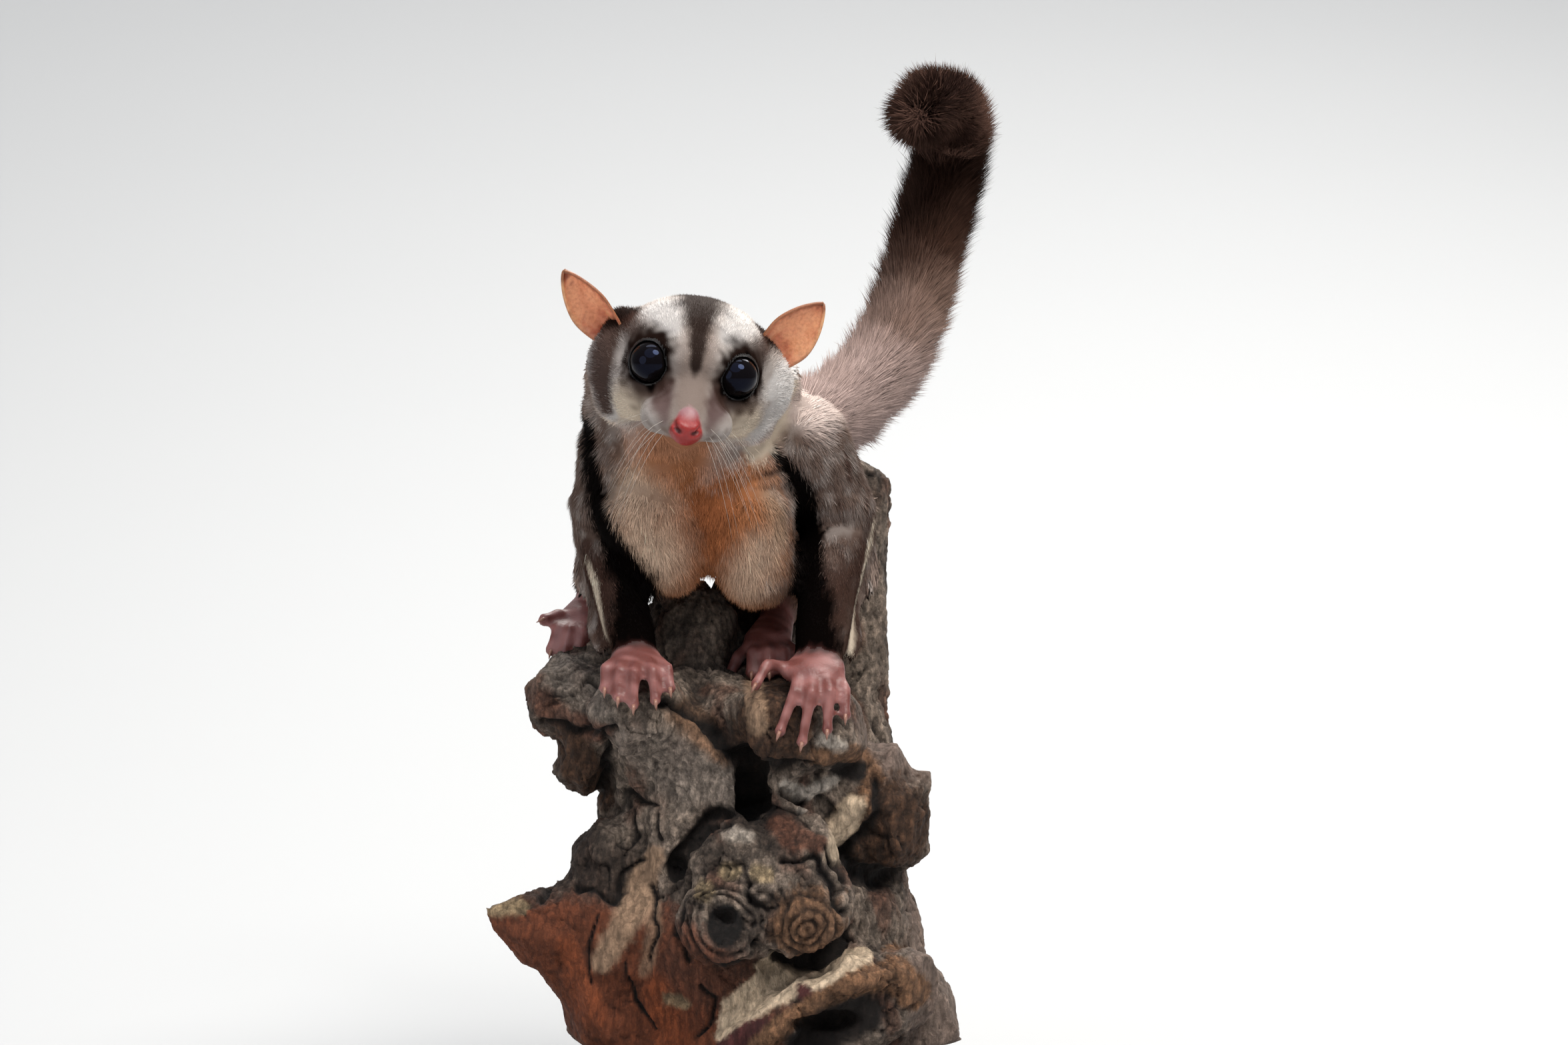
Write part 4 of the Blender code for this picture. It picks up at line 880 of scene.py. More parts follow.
def finished_skin(skin):
    """Colours the skin, marks where it is bare and gives it its two materials."""
    mesh = skin.data
    points = spots_of(mesh)
    bare = bareness(points)
    # The skin under the coat is darkened like the tuft roots: painted shade under the coat
    colour = coat_colour(points) * 0.62
    flush = smooth_step(-0.7, 0.9, mottle(points, 2.2, 21))
    hands = painted(np.tile(PINK_DEEP, (len(points), 1)), 0.2 + 0.7 * flush, PINK)
    front = head_local(points)
    nose = painted(np.tile(NOSE_PALE, (len(points), 1)), smooth_step(-4.0, -6.0, front[:, 2]), NOSE_RED)
    # Painted shade in the nostril slits that carve_face sinks
    for _, side in SIDES:
        slit = mirrored(side, (1.5, -1.2 - NOSE_REACH, -7.4), (2.6, -0.2 - NOSE_REACH, -6.6))
        nostril = near_line(points, slit, (1.0, 1.0))
        nose = painted(nose, 0.9 * smooth_step(0.75, 0.3, nostril), NOSTRIL_SHADE)
    on_nose = near_line(points, [head_point(0, -13.0, -5.6)], (9.0,))
    hands = painted(hands, smooth_step(1.1, 0.9, on_nose), nose)
    knuckles = smooth_step(0.9, 0.2, bare) * 0.7
    hands = painted(hands, knuckles * (1.0 - smooth_step(1.1, 0.9, on_nose)), KNUCKLE)
    for eye in EYES.values():
        lid = np.linalg.norm(points - np.array(eye), axis=1)
        hands = painted(hands, smooth_step(EYE_RADIUS + 1.6, EYE_RADIUS + 0.9, lid), LID)
    colour = painted(colour, bare, hands)
    set_colours(mesh, colour)
    set_value(mesh, "bare", bare)
    corners = np.array([face.vertices[0] for face in mesh.polygons])
    mesh.polygons.foreach_set("material_index", (bare[corners] > 0.25).astype(np.int32))
    shade_smooth(mesh)
    set_spots(mesh, points * MM)


def set_colours(mesh, colours):
    store = mesh.color_attributes.new("markings", 'FLOAT_COLOR', 'POINT')
    rgba = np.ones((len(colours), 4), np.float32)
    rgba[:, :3] = np.clip(colours, 0.0, 1.0)
    store.data.foreach_set("color", rgba.ravel())


# Coat

def unwrap_guide(skin):
    """A light copy of the skin's shape with its unwrap, for placing each tuft's patch."""
    guide = linked("guide", skin.data.copy())
    thin = guide.modifiers.new("Thin", 'DECIMATE')
    thin.ratio = min(1.0, GUIDE_TRIANGLES / len(guide.data.polygons))
    applied(guide)
    bpy.ops.object.select_all(action='DESELECT')
    guide.select_set(True)
    bpy.context.view_layer.objects.active = guide
    bpy.ops.object.mode_set(mode='EDIT')
    bpy.ops.mesh.select_all(action='SELECT')
    bpy.ops.uv.smart_project(angle_limit=math.radians(66.0), island_margin=PATCH_MARGIN)
    bpy.ops.object.mode_set(mode='OBJECT')
    mesh = guide.data
    mesh.calc_loop_triangles()
    tree = BVHTree.FromPolygons([vert.co[:] for vert in mesh.vertices],
                                [tri.vertices[:] for tri in mesh.loop_triangles])
    loops = np.array([tri.loops[:] for tri in mesh.loop_triangles])
    corners = np.array([tri.vertices[:] for tri in mesh.loop_triangles])
    uv = np.empty(len(mesh.loops) * 2, np.float32)
    mesh.uv_layers.active.uv.foreach_get("vector", uv)
    uv = uv.reshape(-1, 2)[loops]
    spots = spots_of(mesh)[corners]
    removed(guide)
    return tree, spots, uv


def patches_at(points, guide):
    """The unwrap's place for each root."""
    tree, spots, uv = guide
    places = np.empty((len(points), 2))
    for number, point in enumerate(points * MM):
        hit, _, face, _ = tree.find_nearest(point)
        a, b, c = spots[face]
        first, second, offset = b - a, c - a, np.array(hit) - a
        along, across, both = first @ first, second @ second, first @ second
        share = max(along * across - both * both, 1e-18)
        v = (across * (offset @ first) - both * (offset @ second)) / share
        w = (along * (offset @ second) - both * (offset @ first)) / share
        places[number] = uv[face][0] * (1 - v - w) + uv[face][1] * v + uv[face][2] * w
    return np.clip(places, PATCH_MARGIN, 1.0 - PATCH_MARGIN)


def skin_samples(skin, density, count, rng):
    """Roots spread over the skin by density, with the skin's normals there."""
    mesh = skin.data
    mesh.calc_loop_triangles()
    corners = np.empty(len(mesh.loop_triangles) * 3, np.int32)
    mesh.loop_triangles.foreach_get("vertices", corners)
    corners = corners.reshape(-1, 3)
    spots = spots_of(mesh) / MM
    normals = normals_of(mesh)
    a, b, c = (spots[corners[:, corner]] for corner in range(3))
    area = np.linalg.norm(np.cross(b - a, c - a), axis=1) / 2.0
    chance = area * density((a + b + c) / 3.0)
    chance /= chance.sum()
    chosen = np.sort(rng.choice(len(corners), count, p=chance))
    first, second = rng.random(count), rng.random(count)
    over = first + second > 1.0
    first[over], second[over] = 1.0 - first[over], 1.0 - second[over]
    roots = (a[chosen] + (b - a)[chosen] * first[:, None] + (c - a)[chosen] * second[:, None])
    corner = corners[chosen]
    facing = (normals[corner[:, 0]] * (1 - first - second)[:, None] + normals[corner[:, 1]] * first[:, None]
              + normals[corner[:, 2]] * second[:, None])
    return roots, unit(facing)


def tuft_piece(name, roots, normals, lies, lengths, widths, lifts, rings, guide, rng,
               sway=TUFT_SWAY, look=None):
    """Joins tapered, bent tufts into one piece, each a closed spike of three sides."""
    count = len(roots)
    lies = unit(lies - normals * np.sum(lies * normals, axis=1)[:, None])
    across = np.cross(normals, lies)
    turn = sway * (0.7 * mottle(roots, 2.6, 31) + 0.45 * rng.normal(size=count))
    lies = unit(lies * np.cos(turn)[:, None] + across * np.sin(turn)[:, None])
    across = np.cross(normals, lies)
    lengths = lengths * rng.uniform(0.72, 1.18, count)
    lifts = lifts * rng.uniform(0.75, 1.3, count) * (1.0 + 0.25 * mottle(roots, 2.2, 33))
    lean = rng.normal(0.0, TUFT_LEAN, count)
    levels = rings + 1
    centre = roots - normals * TUFT_SINK
    spots, shading, tone = [], [], []
    for level in range(levels):
        share = level / rings
        if level:
            angle = lifts * (1.35 - 1.05 * (level - 0.5) / rings)
            heading = lies * np.cos(angle)[:, None] + normals * np.sin(angle)[:, None]
            heading = heading + across * (lean * share)[:, None]
            centre = centre + heading * (lengths / rings)[:, None]
        # Tone along each tuft, darker at the root and lighter at the tip: partly the hair's own tone, partly
        # painted shade deep in the coat and painted light on the tips
        if level == rings:
            spots.append(centre[:, None, :])
            shading.append(normals[:, None, :] * 0.6 + lies[:, None, :] * 0.25)
            tone.append(np.full((count, 1), 1.12))
            break
        wide = widths * (0.62, 1.0, 0.72, 0.5)[level if rings > 1 else 1] * 0.5
        ring = np.stack([centre + across * wide[:, None], centre + normals * (wide * 0.55)[:, None],
                         centre - across * wide[:, None]], axis=1)
        spots.append(ring)
        lit = [normals * 0.7 + across * 0.6, normals, normals * 0.7 - across * 0.6]
        shading.append(np.stack(lit, axis=1))
        tone.append(np.full((count, 3), 0.62 + 0.4 * min(share * 1.5, 1.0)))
    spots = np.concatenate(spots, axis=1)
    shading = np.concatenate(shading, axis=1)
    tone = np.concatenate(tone, axis=1)
    each = spots.shape[1]

    faces = [(0, 2, 1)]
    for level in range(rings - 1):
        low, high = level * 3, level * 3 + 3
        for corner in range(3):
            after = (corner + 1) % 3
            faces.append((low + corner, high + after, high + corner))
            faces.append((low + corner, low + after, high + after))
    top = (rings - 1) * 3
    for corner in range(3):
        faces.append((top + corner, top + (corner + 1) % 3, top + 3))
    faces = np.array(faces)
    joined = (faces[None, :, :] + (np.arange(count) * each)[:, None, None]).reshape(-1, 3)

    mesh = bpy.data.meshes.new(name)
    mesh.vertices.add(count * each)
    mesh.vertices.foreach_set("co", (spots * MM).astype(np.float32).ravel())
    mesh.loops.add(joined.size)
    mesh.loops.foreach_set("vertex_index", joined.astype(np.int32).ravel())
    mesh.polygons.add(len(joined))
    mesh.polygons.foreach_set("loop_start", np.arange(0, joined.size, 3, dtype=np.int32))
    mesh.polygons.foreach_set("use_smooth", np.ones(len(joined), bool))
    mesh.update(calc_edges=True)

    middle = roots + lies * (lengths * 0.45)[:, None] + rng.normal(0.0, 0.35, (count, 3))
    colour = coat_colour(middle)
    each_tone = np.exp(rng.normal(0.0, TUFT_TONE, count)) * (1.0 + 0.10 * mottle(roots, 1.6, 35))
    # Each tuft's painted root shade and tip light, times its own random tone
    colour = colour[:, None, :] * tone[:, :, None] * each_tone[:, None, None]
    set_colours(mesh, colour.reshape(-1, 3))

    places = patches_at(roots, guide)
    layout = np.array([(math.cos(step * 2.4), math.sin(step * 2.4)) for step in range(each)]) * PATCH_RADIUS
    layout *= np.linspace(1.0, 0.3, each)[:, None]
    patch = (places[:, None, :] + layout[None, :, :]).reshape(-1, 2)
    layer = mesh.uv_layers.new(name="OFBake")
    layer.uv.foreach_set("vector", patch[joined.ravel()].astype(np.float32).ravel())
    mesh.normals_split_custom_set_from_vertices(unit(shading.reshape(-1, 3)).astype(np.float32))
    piece = linked(name, mesh)
    piece.data.materials.append(look)
    return piece


# The coats: name, tufts, rings of each tuft, its width in millimetres and its lift in radians

COATS = (
    ("coat_face", 48000, 1, 0.20, 0.36),
    ("coat_crown", 32000, 1, 0.26, 0.34),
    ("coat_chest", 44000, 1, 0.30, 0.30),
    ("coat_back", 17000, 2, 0.62, 0.26),
    ("coat_rump", 13000, 2, 0.75, 0.26),
    ("coat_arm_right", 24000, 1, 0.32, 0.30),
    ("coat_arm_left", 26000, 1, 0.32, 0.30),
    ("coat_leg_right", 12000, 1, 0.40, 0.30),
    ("coat_leg_left", 12000, 1, 0.40, 0.30),
)


def region(points):
    """Which coat each spot of the furred skin belongs to, as a number in COATS."""
    local = head_local(points)
    number = np.where(points[:, 1] > 30.0, 4, np.where(points[:, 1] < 4.0, 2, 3))
    number = np.where((number == 2) & (points[:, 2] > 158.0), 3, number)
    for name, index in (("right", 5), ("left", 6)):
        arm = near_line(points, FORELEGS[name][:3], (11.5, 10.0, 9.0))
        number = np.where(arm < 1.0, index, number)
    for name, index in (("right", 7), ("left", 8)):
        leg = near_line(points, HINDLEGS[name], (11.0, 10.5, 7.6, 6.4, 7.0))
        number = np.where((leg < 1.0) & (points[:, 2] < 126.0), index, number)
    away = np.linalg.norm(local - HEAD_MIDDLE, axis=1)
    head = away < 20.5
    number = np.where(head & (local[:, 1] >= 4.0), 1, number)
    number = np.where(head & (local[:, 1] < 4.0), 0, number)
    return number


def build_coats(skin, lie, guide, look):
    """Every tuft of the coat, in one piece for each region of the body."""
    pieces = []
    rng = np.random.default_rng(SEED)

    def furred(points):
        return smooth_step(0.85, 0.3, bareness(points))

    def off_tail(points):
        tail = near_line(points, TAIL_POINTS[1:], [TAIL_REACH] * (len(TAIL_POINTS) - 1))
        return (tail > 1.0) | (points[:, 1] < 60.0)

    for index, (name, count, rings, width, lift) in enumerate(COATS):
        def density(points, index=index):
            return furred(points) * (region(points) == index) * off_tail(points) + NO_CHANCE

        roots, normals = skin_samples(skin, density, count, rng)
        flow, lengths = lie(roots)
        widths = width * rng.uniform(0.7, 1.25, count)
        lifts = np.full(count, lift)
        bald = bareness(roots)
        lengths = lengths * (1.0 - 0.6 * bald)
        if index == 0:
            widths *= np.clip(lengths / 2.2, 0.45, 1.0)
        pieces.append(tuft_piece(name, roots, normals, flow, lengths, widths, lifts, rings, guide, rng,
                                 look=look))
    return pieces


def build_brush(skin, lie, guide, look):
    """The long hair of the tail, in four pieces along it."""
    rng = np.random.default_rng(SEED + 1)
    pieces = []
    steps = len(TAIL_POINTS) - 1
    for number in range(BRUSH_PIECES):
        low, high = number / BRUSH_PIECES, (number + 1) / BRUSH_PIECES

        def density(points):
            share = tail_share(points)
            tail = near_line(points, TAIL_POINTS, [TAIL_REACH] * (steps + 1))
            along = (share >= low) & (share < high + (number == BRUSH_PIECES - 1))
            return (along & (tail < 1.0) & (points[:, 1] > 52.0)) + NO_CHANCE

        roots, normals = skin_samples(skin, density, BRUSH_TUFTS, rng)
        flow, lengths = lie(roots)
        widths = BRUSH_WIDTH * rng.uniform(0.6, 1.2, BRUSH_TUFTS)
        lifts = np.full(BRUSH_TUFTS, BRUSH_LIFT)
        pieces.append(tuft_piece("brush_%d" % (number + 1), roots, normals, flow, lengths, widths, lifts, 1,
                                 guide, rng, sway=BRUSH_SWAY, look=look))
    return pieces


def tail_share(points):
    """How far along the tail each spot is, from 0 to 1."""
    nearest = np.full(len(points), FAR)
    share = np.zeros(len(points))
    steps = len(TAIL_POINTS) - 1
    for number in range(steps):
        start, end = np.array(TAIL_POINTS[number]), np.array(TAIL_POINTS[number + 1])
        span = end - start
        along = np.clip((points - start) @ span / (span @ span), 0.0, 1.0)
        away = np.linalg.norm(points - start - along[:, None] * span, axis=1)
        closer = away < nearest
        nearest = np.where(closer, away, nearest)
        share = np.where(closer, (number + along) / steps, share)
    return share


# Eyes, ears, whiskers and claws

def build_eyes():
    """Wet, nearly black eyes in place of the CAD part's."""
    look, _, shader = new_material("eye_dark_wet", 0.03, (0.004, 0.003, 0.003))
    shader.inputs["Specular IOR Level"].default_value = 0.14
    shader.inputs["Specular Tint"].default_value = (0.34, 0.48, 1.0, 1.0)
    for name, _ in SIDES:
        bm = bmesh.new()
        bmesh.ops.create_uvsphere(bm, u_segments=48, v_segments=32, radius=EYE_RADIUS,
                                  matrix=Matrix.Translation(EYES[name]))
        eye = piece_from("eyeball_" + name, bm)
        shade_smooth(eye.data)
        eye.data.materials.append(look)
        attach(eye, "root")
        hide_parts("eye_" + name)


def ear_material():
    """Thin warm skin with darker speckles, lit through."""
    look, tree, shader = new_material("ear_thin_skin", 0.5)
    tone = add_node(tree, 'ShaderNodeAttribute', attribute_name="markings")
    speckle = noise_on_object(tree, 1500.0, 4.0)
    ramp = add_node(tree, 'ShaderNodeValToRGB')
    ramp.color_ramp.elements[0].position = 0.34
    ramp.color_ramp.elements[0].color = (0.72, 0.66, 0.6, 1.0)
    ramp.color_ramp.elements[1].position = 0.58
    ramp.color_ramp.elements[1].color = (1.0, 1.0, 1.0, 1.0)
    mix = add_node(tree, 'ShaderNodeMix', data_type='RGBA', blend_type='MULTIPLY')
    mix.inputs["Factor"].default_value = 0.8
    tree.links.new(speckle.outputs["Fac"], ramp.inputs["Fac"])
    tree.links.new(tone.outputs["Color"], mix.inputs[6])
    tree.links.new(ramp.outputs["Color"], mix.inputs[7])
    tree.links.new(mix.outputs[2], shader.inputs["Base Color"])
    shader.inputs["Subsurface Weight"].default_value = 0.35
    shader.inputs["Subsurface Radius"].default_value = (0.003, 0.0012, 0.0006)
    shader.inputs["Subsurface Scale"].default_value = 1.0
    add_bump(tree, shader, speckle.outputs["Fac"], 0.3, 0.0002)
    return look


def build_ear(name, side, look):
    """A thin leaf-shaped cup with a rolled edge and folds near its root."""
    root = Vector((side * EAR_SPREAD[name], 12.4, 1.6))
    along = Vector((side * math.cos(EAR_RISE[name]), 0.06, math.sin(EAR_RISE[name]))).normalized()
    front = Vector((side * EAR_TURN[name], -0.95, 0.10))
    front = (front - along * front.dot(along)).normalized()
    across = along.cross(front)
    bm = bmesh.new()
    bmesh.ops.create_grid(bm, x_segments=28, y_segments=36, size=1.0)
    for vert in bm.verts:
        v = vert.co.x
        u = (vert.co.y + 1.0) / 2.0
        width = EAR_HALF_WIDTH[name] * (0.55 + 0.45 * math.sin(min(u * 1.75, 1.0) * math.pi / 2.0))
        width *= max(1.0 - (max(u - 0.40, 0.0) / 0.60) ** 1.9, 0.002) ** 0.8
        cup = (2.6 - 2.0 * u) * v * v + 0.5 * math.sin(u * math.pi)
        cup += 0.35 * math.exp(-((abs(v) - 0.55) / 0.12) ** 2) * math.exp(-((u - 0.25) / 0.22) ** 2)
        cup += 0.5 * smooth_step(0.82, 1.0, np.array(abs(v))).item()
        cup += 0.12 * math.sin(u * 34.0) * (1.0 - abs(v)) * (1.0 - u)
        upward = -side * 1.6 * u * u
        spot = (root + along * (u * (EAR_LENGTH + 1.5) - 1.5) + across * (width * v + upward)
                + front * cup)
        vert.co = HEAD_AT + HEAD_TURN @ spot
    bmesh.ops.recalc_face_normals(bm, faces=bm.faces[:])
    ear = piece_from("ear_cup_" + name, bm)
    wall = ear.modifiers.new("Wall", 'SOLIDIFY')
    wall.thickness = 0.55 * MM
    wall.offset = 0.0
    applied(ear)
    mesh = ear.data
    local = head_local(spots_of(mesh) / MM) - np.array(root)
    height = local @ np.array(along) / EAR_LENGTH
    spread = np.abs(local @ np.array(across)) / EAR_HALF_WIDTH[name]
    ragged = 0.10 * mottle(local, 1.6, 71) + 0.08 * mottle(local, 0.8, 72)
    colour = np.tile(EAR_TAN, (len(local), 1))
    colour = painted(colour, 0.6 * smooth_step(0.0, 0.8, mottle(local, 3.0, 73)), EAR_WARM)
    # Darker near the root: partly the ear's own colour, partly painted shade in the folds there
    colour = painted(colour, smooth_step(0.45, 0.0, height + ragged), EAR_ROOT_SHADE)
    outline = spread / np.maximum(1.0 - np.maximum(height - 0.40, 0.0) ** 2 * 2.2, 0.1)
    colour = painted(colour, 0.85 * smooth_step(0.72, 1.0, outline + ragged), EAR_RIM)
    colour = painted(colour, 0.85 * smooth_step(0.86, 1.0, height + ragged), EAR_RIM)
    set_colours(mesh, colour)
    shade_smooth(mesh)
    mesh.materials.append(look)
    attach(ear, "root")
    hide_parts("ear_" + name)


def build_whiskers():
    """Thin pale whiskers, three rows of three on each side of the muzzle."""
    look, _, shader = new_material("whisker_pale", 0.35, (0.50, 0.45, 0.40))
    shader.inputs["Specular IOR Level"].default_value = 0.3
    rng = np.random.default_rng(SEED + 2)
    for name, side in SIDES:
        bm = bmesh.new()
        for row in range(3):
            for column in range(3):
                root = head_point(side * (3.6 + 0.9 * column), -14.0 + 1.7 * column, -6.6 - 1.1 * row)
                reach = rng.uniform(7.0, 15.0)
                out = HEAD_TURN @ Vector((side * (0.9 + 0.1 * column), -0.35 + 0.16 * column,
                                          -0.1 - 0.45 * row))
                out.normalize()
                droop = Vector((0.0, 0.0, -1.0)) * rng.uniform(0.5, 1.2)
                back = HEAD_TURN @ Vector((0.0, 1.0, 0.0)) * rng.uniform(0.1, 0.4)
                path = [root - out * 0.8 + out * (reach * t) + (droop + back) * (reach * t * t)
                        for t in (0.0, 0.15, 0.3, 0.45, 0.6, 0.75, 0.9, 1.0)]
                grow_tube(bm, path, [0.042, 0.040, 0.036, 0.032, 0.027, 0.021, 0.015, 0.008], 4)
        whiskers = piece_from("whiskers_" + name, bm)
        shade_smooth(whiskers.data)
        whiskers.data.materials.append(look)
        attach(whiskers, "root")


# Fingers and toes of each hand and foot, as knuckle and tip

DIGITS = {
    "hand_right": (((-29.6, -24.2, 100.9), (-29.7, -26.1, 97.1)),
                   ((-26.8, -26.3, 100.6), (-27.0, -28.0, 95.5)),
                   ((-23.8, -27.2, 100.4), (-23.9, -28.7, 94.1)),
                   ((-20.2, -26.5, 100.6), (-19.6, -28.0, 95.0)),
                   ((-17.2, -24.4, 100.9), (-16.7, -26.1, 97.1))),
    "hand_left": (((2.6, -23.6, 101.6), (0.4, -26.4, 97.8)), ((8.2, -27.0, 96.6), (5.2, -29.4, 88.8)),
                  ((11.4, -28.0, 96.4), (9.6, -30.2, 86.8)), ((15.0, -27.2, 96.6), (14.6, -29.4, 89.2)),
                  ((18.2, -24.6, 96.8), (18.2, -26.8, 91.8))),
    "foot_right": (((-40.4, 18.6, 107.2), (-43.2, 16.4, 106.4)), ((-40.4, 15.0, 104.6), (-41.6, 12.6, 100.6)),
                   ((-38.0, 14.0, 104.4), (-39.2, 11.4, 99.4)), ((-35.2, 14.2, 104.2), (-36.2, 11.6, 98.8)),
                   ((-32.4, 15.6, 103.8), (-33.2, 12.8, 99.0))),
    "foot_left": (((-3.2, 7.2, 100.0), (-5.4, 4.6, 95.6)), ((-0.4, 3.0, 101.0), (-0.6, 0.6, 97.2)),
                  ((2.8, 2.0, 101.2), (3.0, -0.6, 97.4)), ((6.0, 2.4, 101.0), (6.4, 0.2, 97.4)),
                  ((8.8, 5.0, 100.8), (9.6, 3.2, 97.8))),
}


def build_claws():
    """A short bent claw over the tip of each finger and toe."""
    look, _, _ = new_material("claw_horn", 0.3, (0.30, 0.15, 0.11))
    for name, digits in DIGITS.items():
        bm = bmesh.new()
        for knuckle, tip in digits:
            knuckle, tip = Vector(knuckle), Vector(tip)
            reach = (tip - knuckle).normalized()
            top = Vector((0.0, -1.0, 0.35))
            top = (top - reach * top.dot(reach)).normalized()
            start = tip + reach * 0.2 + top * 0.75
            path = [start, start + reach * 0.8 + top * 0.2, start + reach * 1.5 - top * 0.1,
                    start + reach * 2.0 - top * 0.7]
            grow_tube(bm, path, (0.42, 0.38, 0.24, 0.05), 8)
        claws = piece_from("claws_" + name, bm)
        shade_smooth(claws.data)
        claws.data.materials.append(look)
        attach(claws, "root")


# Branch

def wood_material():
    """Weathered bark over bare wood: fine cracks, specks and grain on top of the painted forms."""
    look, tree, shader = new_material("bark_weathered", 0.78)
    tone = add_node(tree, 'ShaderNodeAttribute', attribute_name="markings")
    rough = add_node(tree, 'ShaderNodeAttribute', attribute_name="barky")
    place = add_node(tree, 'ShaderNodeTexCoord')
    stretch = add_node(tree, 'ShaderNodeMapping')
    stretch.inputs["Scale"].default_value = (1.0, 1.0, 0.3)
    tree.links.new(place.outputs["Object"], stretch.inputs["Vector"])
    specks = noise_on_object(tree, 620.0, 9.0, 0.74)
    grain = add_node(tree, 'ShaderNodeTexNoise', Scale=900.0, Detail=6.0, Roughness=0.7, Distortion=0.6)
    tree.links.new(stretch.outputs["Vector"], grain.inputs["Vector"])
    flakes = add_node(tree, 'ShaderNodeTexVoronoi', feature='DISTANCE_TO_EDGE', Scale=420.0)
    bend = add_node(tree, 'ShaderNodeMix', data_type='VECTOR')
    bend.inputs["Factor"].default_value = 0.0035
    tree.links.new(stretch.outputs["Vector"], bend.inputs[4])
    tree.links.new(specks.outputs["Color"], bend.inputs[5])
    tree.links.new(bend.outputs[1], flakes.inputs["Vector"])
    seams = add_node(tree, 'ShaderNodeMapRange')
    seams.inputs["From Max"].default_value = 0.09
    tree.links.new(flakes.outputs["Distance"], seams.inputs["Value"])

    dark_specks = tone_ramp(tree, specks.outputs["Fac"], (0.34, 0.4), (0.5, 1.0), (0.66, 1.9))
    streaks = tone_ramp(tree, grain.outputs["Fac"], (0.34, 0.6), (0.52, 1.0), (0.7, 1.4))
    edges = tone_ramp(tree, seams.outputs["Result"], (0.0, 0.7), (0.5, 0.95), (1.0, 1.0))
    shown = multiplied(tree, tone.outputs["Color"], streaks, None)
    shown = multiplied(tree, shown, dark_specks, rough.outputs["Fac"])
    shown = multiplied(tree, shown, edges, rough.outputs["Fac"])
    tree.links.new(shown, shader.inputs["Base Color"])

    height = add_node(tree, 'ShaderNodeMath', operation='MULTIPLY_ADD')
    tree.links.new(specks.outputs["Fac"], height.inputs[0])
    tree.links.new(seams.outputs["Result"], height.inputs[1])
    tree.links.new(grain.outputs["Fac"], height.inputs[2])
    add_bump(tree, shader, height.outputs["Value"], 0.7, 0.0012)
    shader.inputs["Specular IOR Level"].default_value = 0.35
    return look


def tone_ramp(tree, value, *stops):
    """Turns a pattern into light and dark by stops of (place, tone)."""
    ramp = add_node(tree, 'ShaderNodeValToRGB')
    steps = ramp.color_ramp.elements
    for number, (at, level) in enumerate(stops):
        step = steps[number] if number < 2 else steps.new(at)
        step.position = at
        step.color = (level, level * 0.98, level * 0.95, 1.0)
    tree.links.new(value, ramp.inputs["Fac"])
    return ramp.outputs["Color"]


def multiplied(tree, first, second, factor):
    """One colour darkened or lightened by another, by a factor where one is given."""
    mix = add_node(tree, 'ShaderNodeMix', data_type='RGBA', blend_type='MULTIPLY')
    mix.inputs["Factor"].default_value = 1.0
    if factor is not None:
        tree.links.new(factor, mix.inputs["Factor"])
    tree.links.new(first, mix.inputs[6])
    tree.links.new(second, mix.inputs[7])
    return mix.outputs[2]


# Colours and marks of the wood

BARK_PALE = shade(124, 113, 105)
BARK_DARK = shade(58, 49, 44)
BARK_RED = shade(92, 58, 44)
WOOD_RED = shade(104, 56, 34)
WOOD_EMBER = shade(138, 72, 40)
WOOD_BEIGE = shade(152, 126, 104)
WOOD_CREAM = shade(204, 184, 160)
KNOB_BROWN = shade(68, 48, 35)
RIM_BROWN = shade(116, 86, 64)
FLAKE_WHITE = shade(188, 180, 172)
STEM_GREY = shade(122, 106, 98)
LICHEN = shade(146, 130, 104)
BARK_GREY = shade(138, 128, 121)
LOBE_GREY = shade(128, 120, 114)
WINE = shade(74, 36, 36)
# Near-black brown for painted shade in the branch's crevices, holes and hollows, and under the animal
WOOD_SHADE = shade(24, 17, 14)
KNOTHOLE = (-5.8, 50.2)
SWIRL = (10.8, 50.0)
SWIRL_RADIUS = 7.6

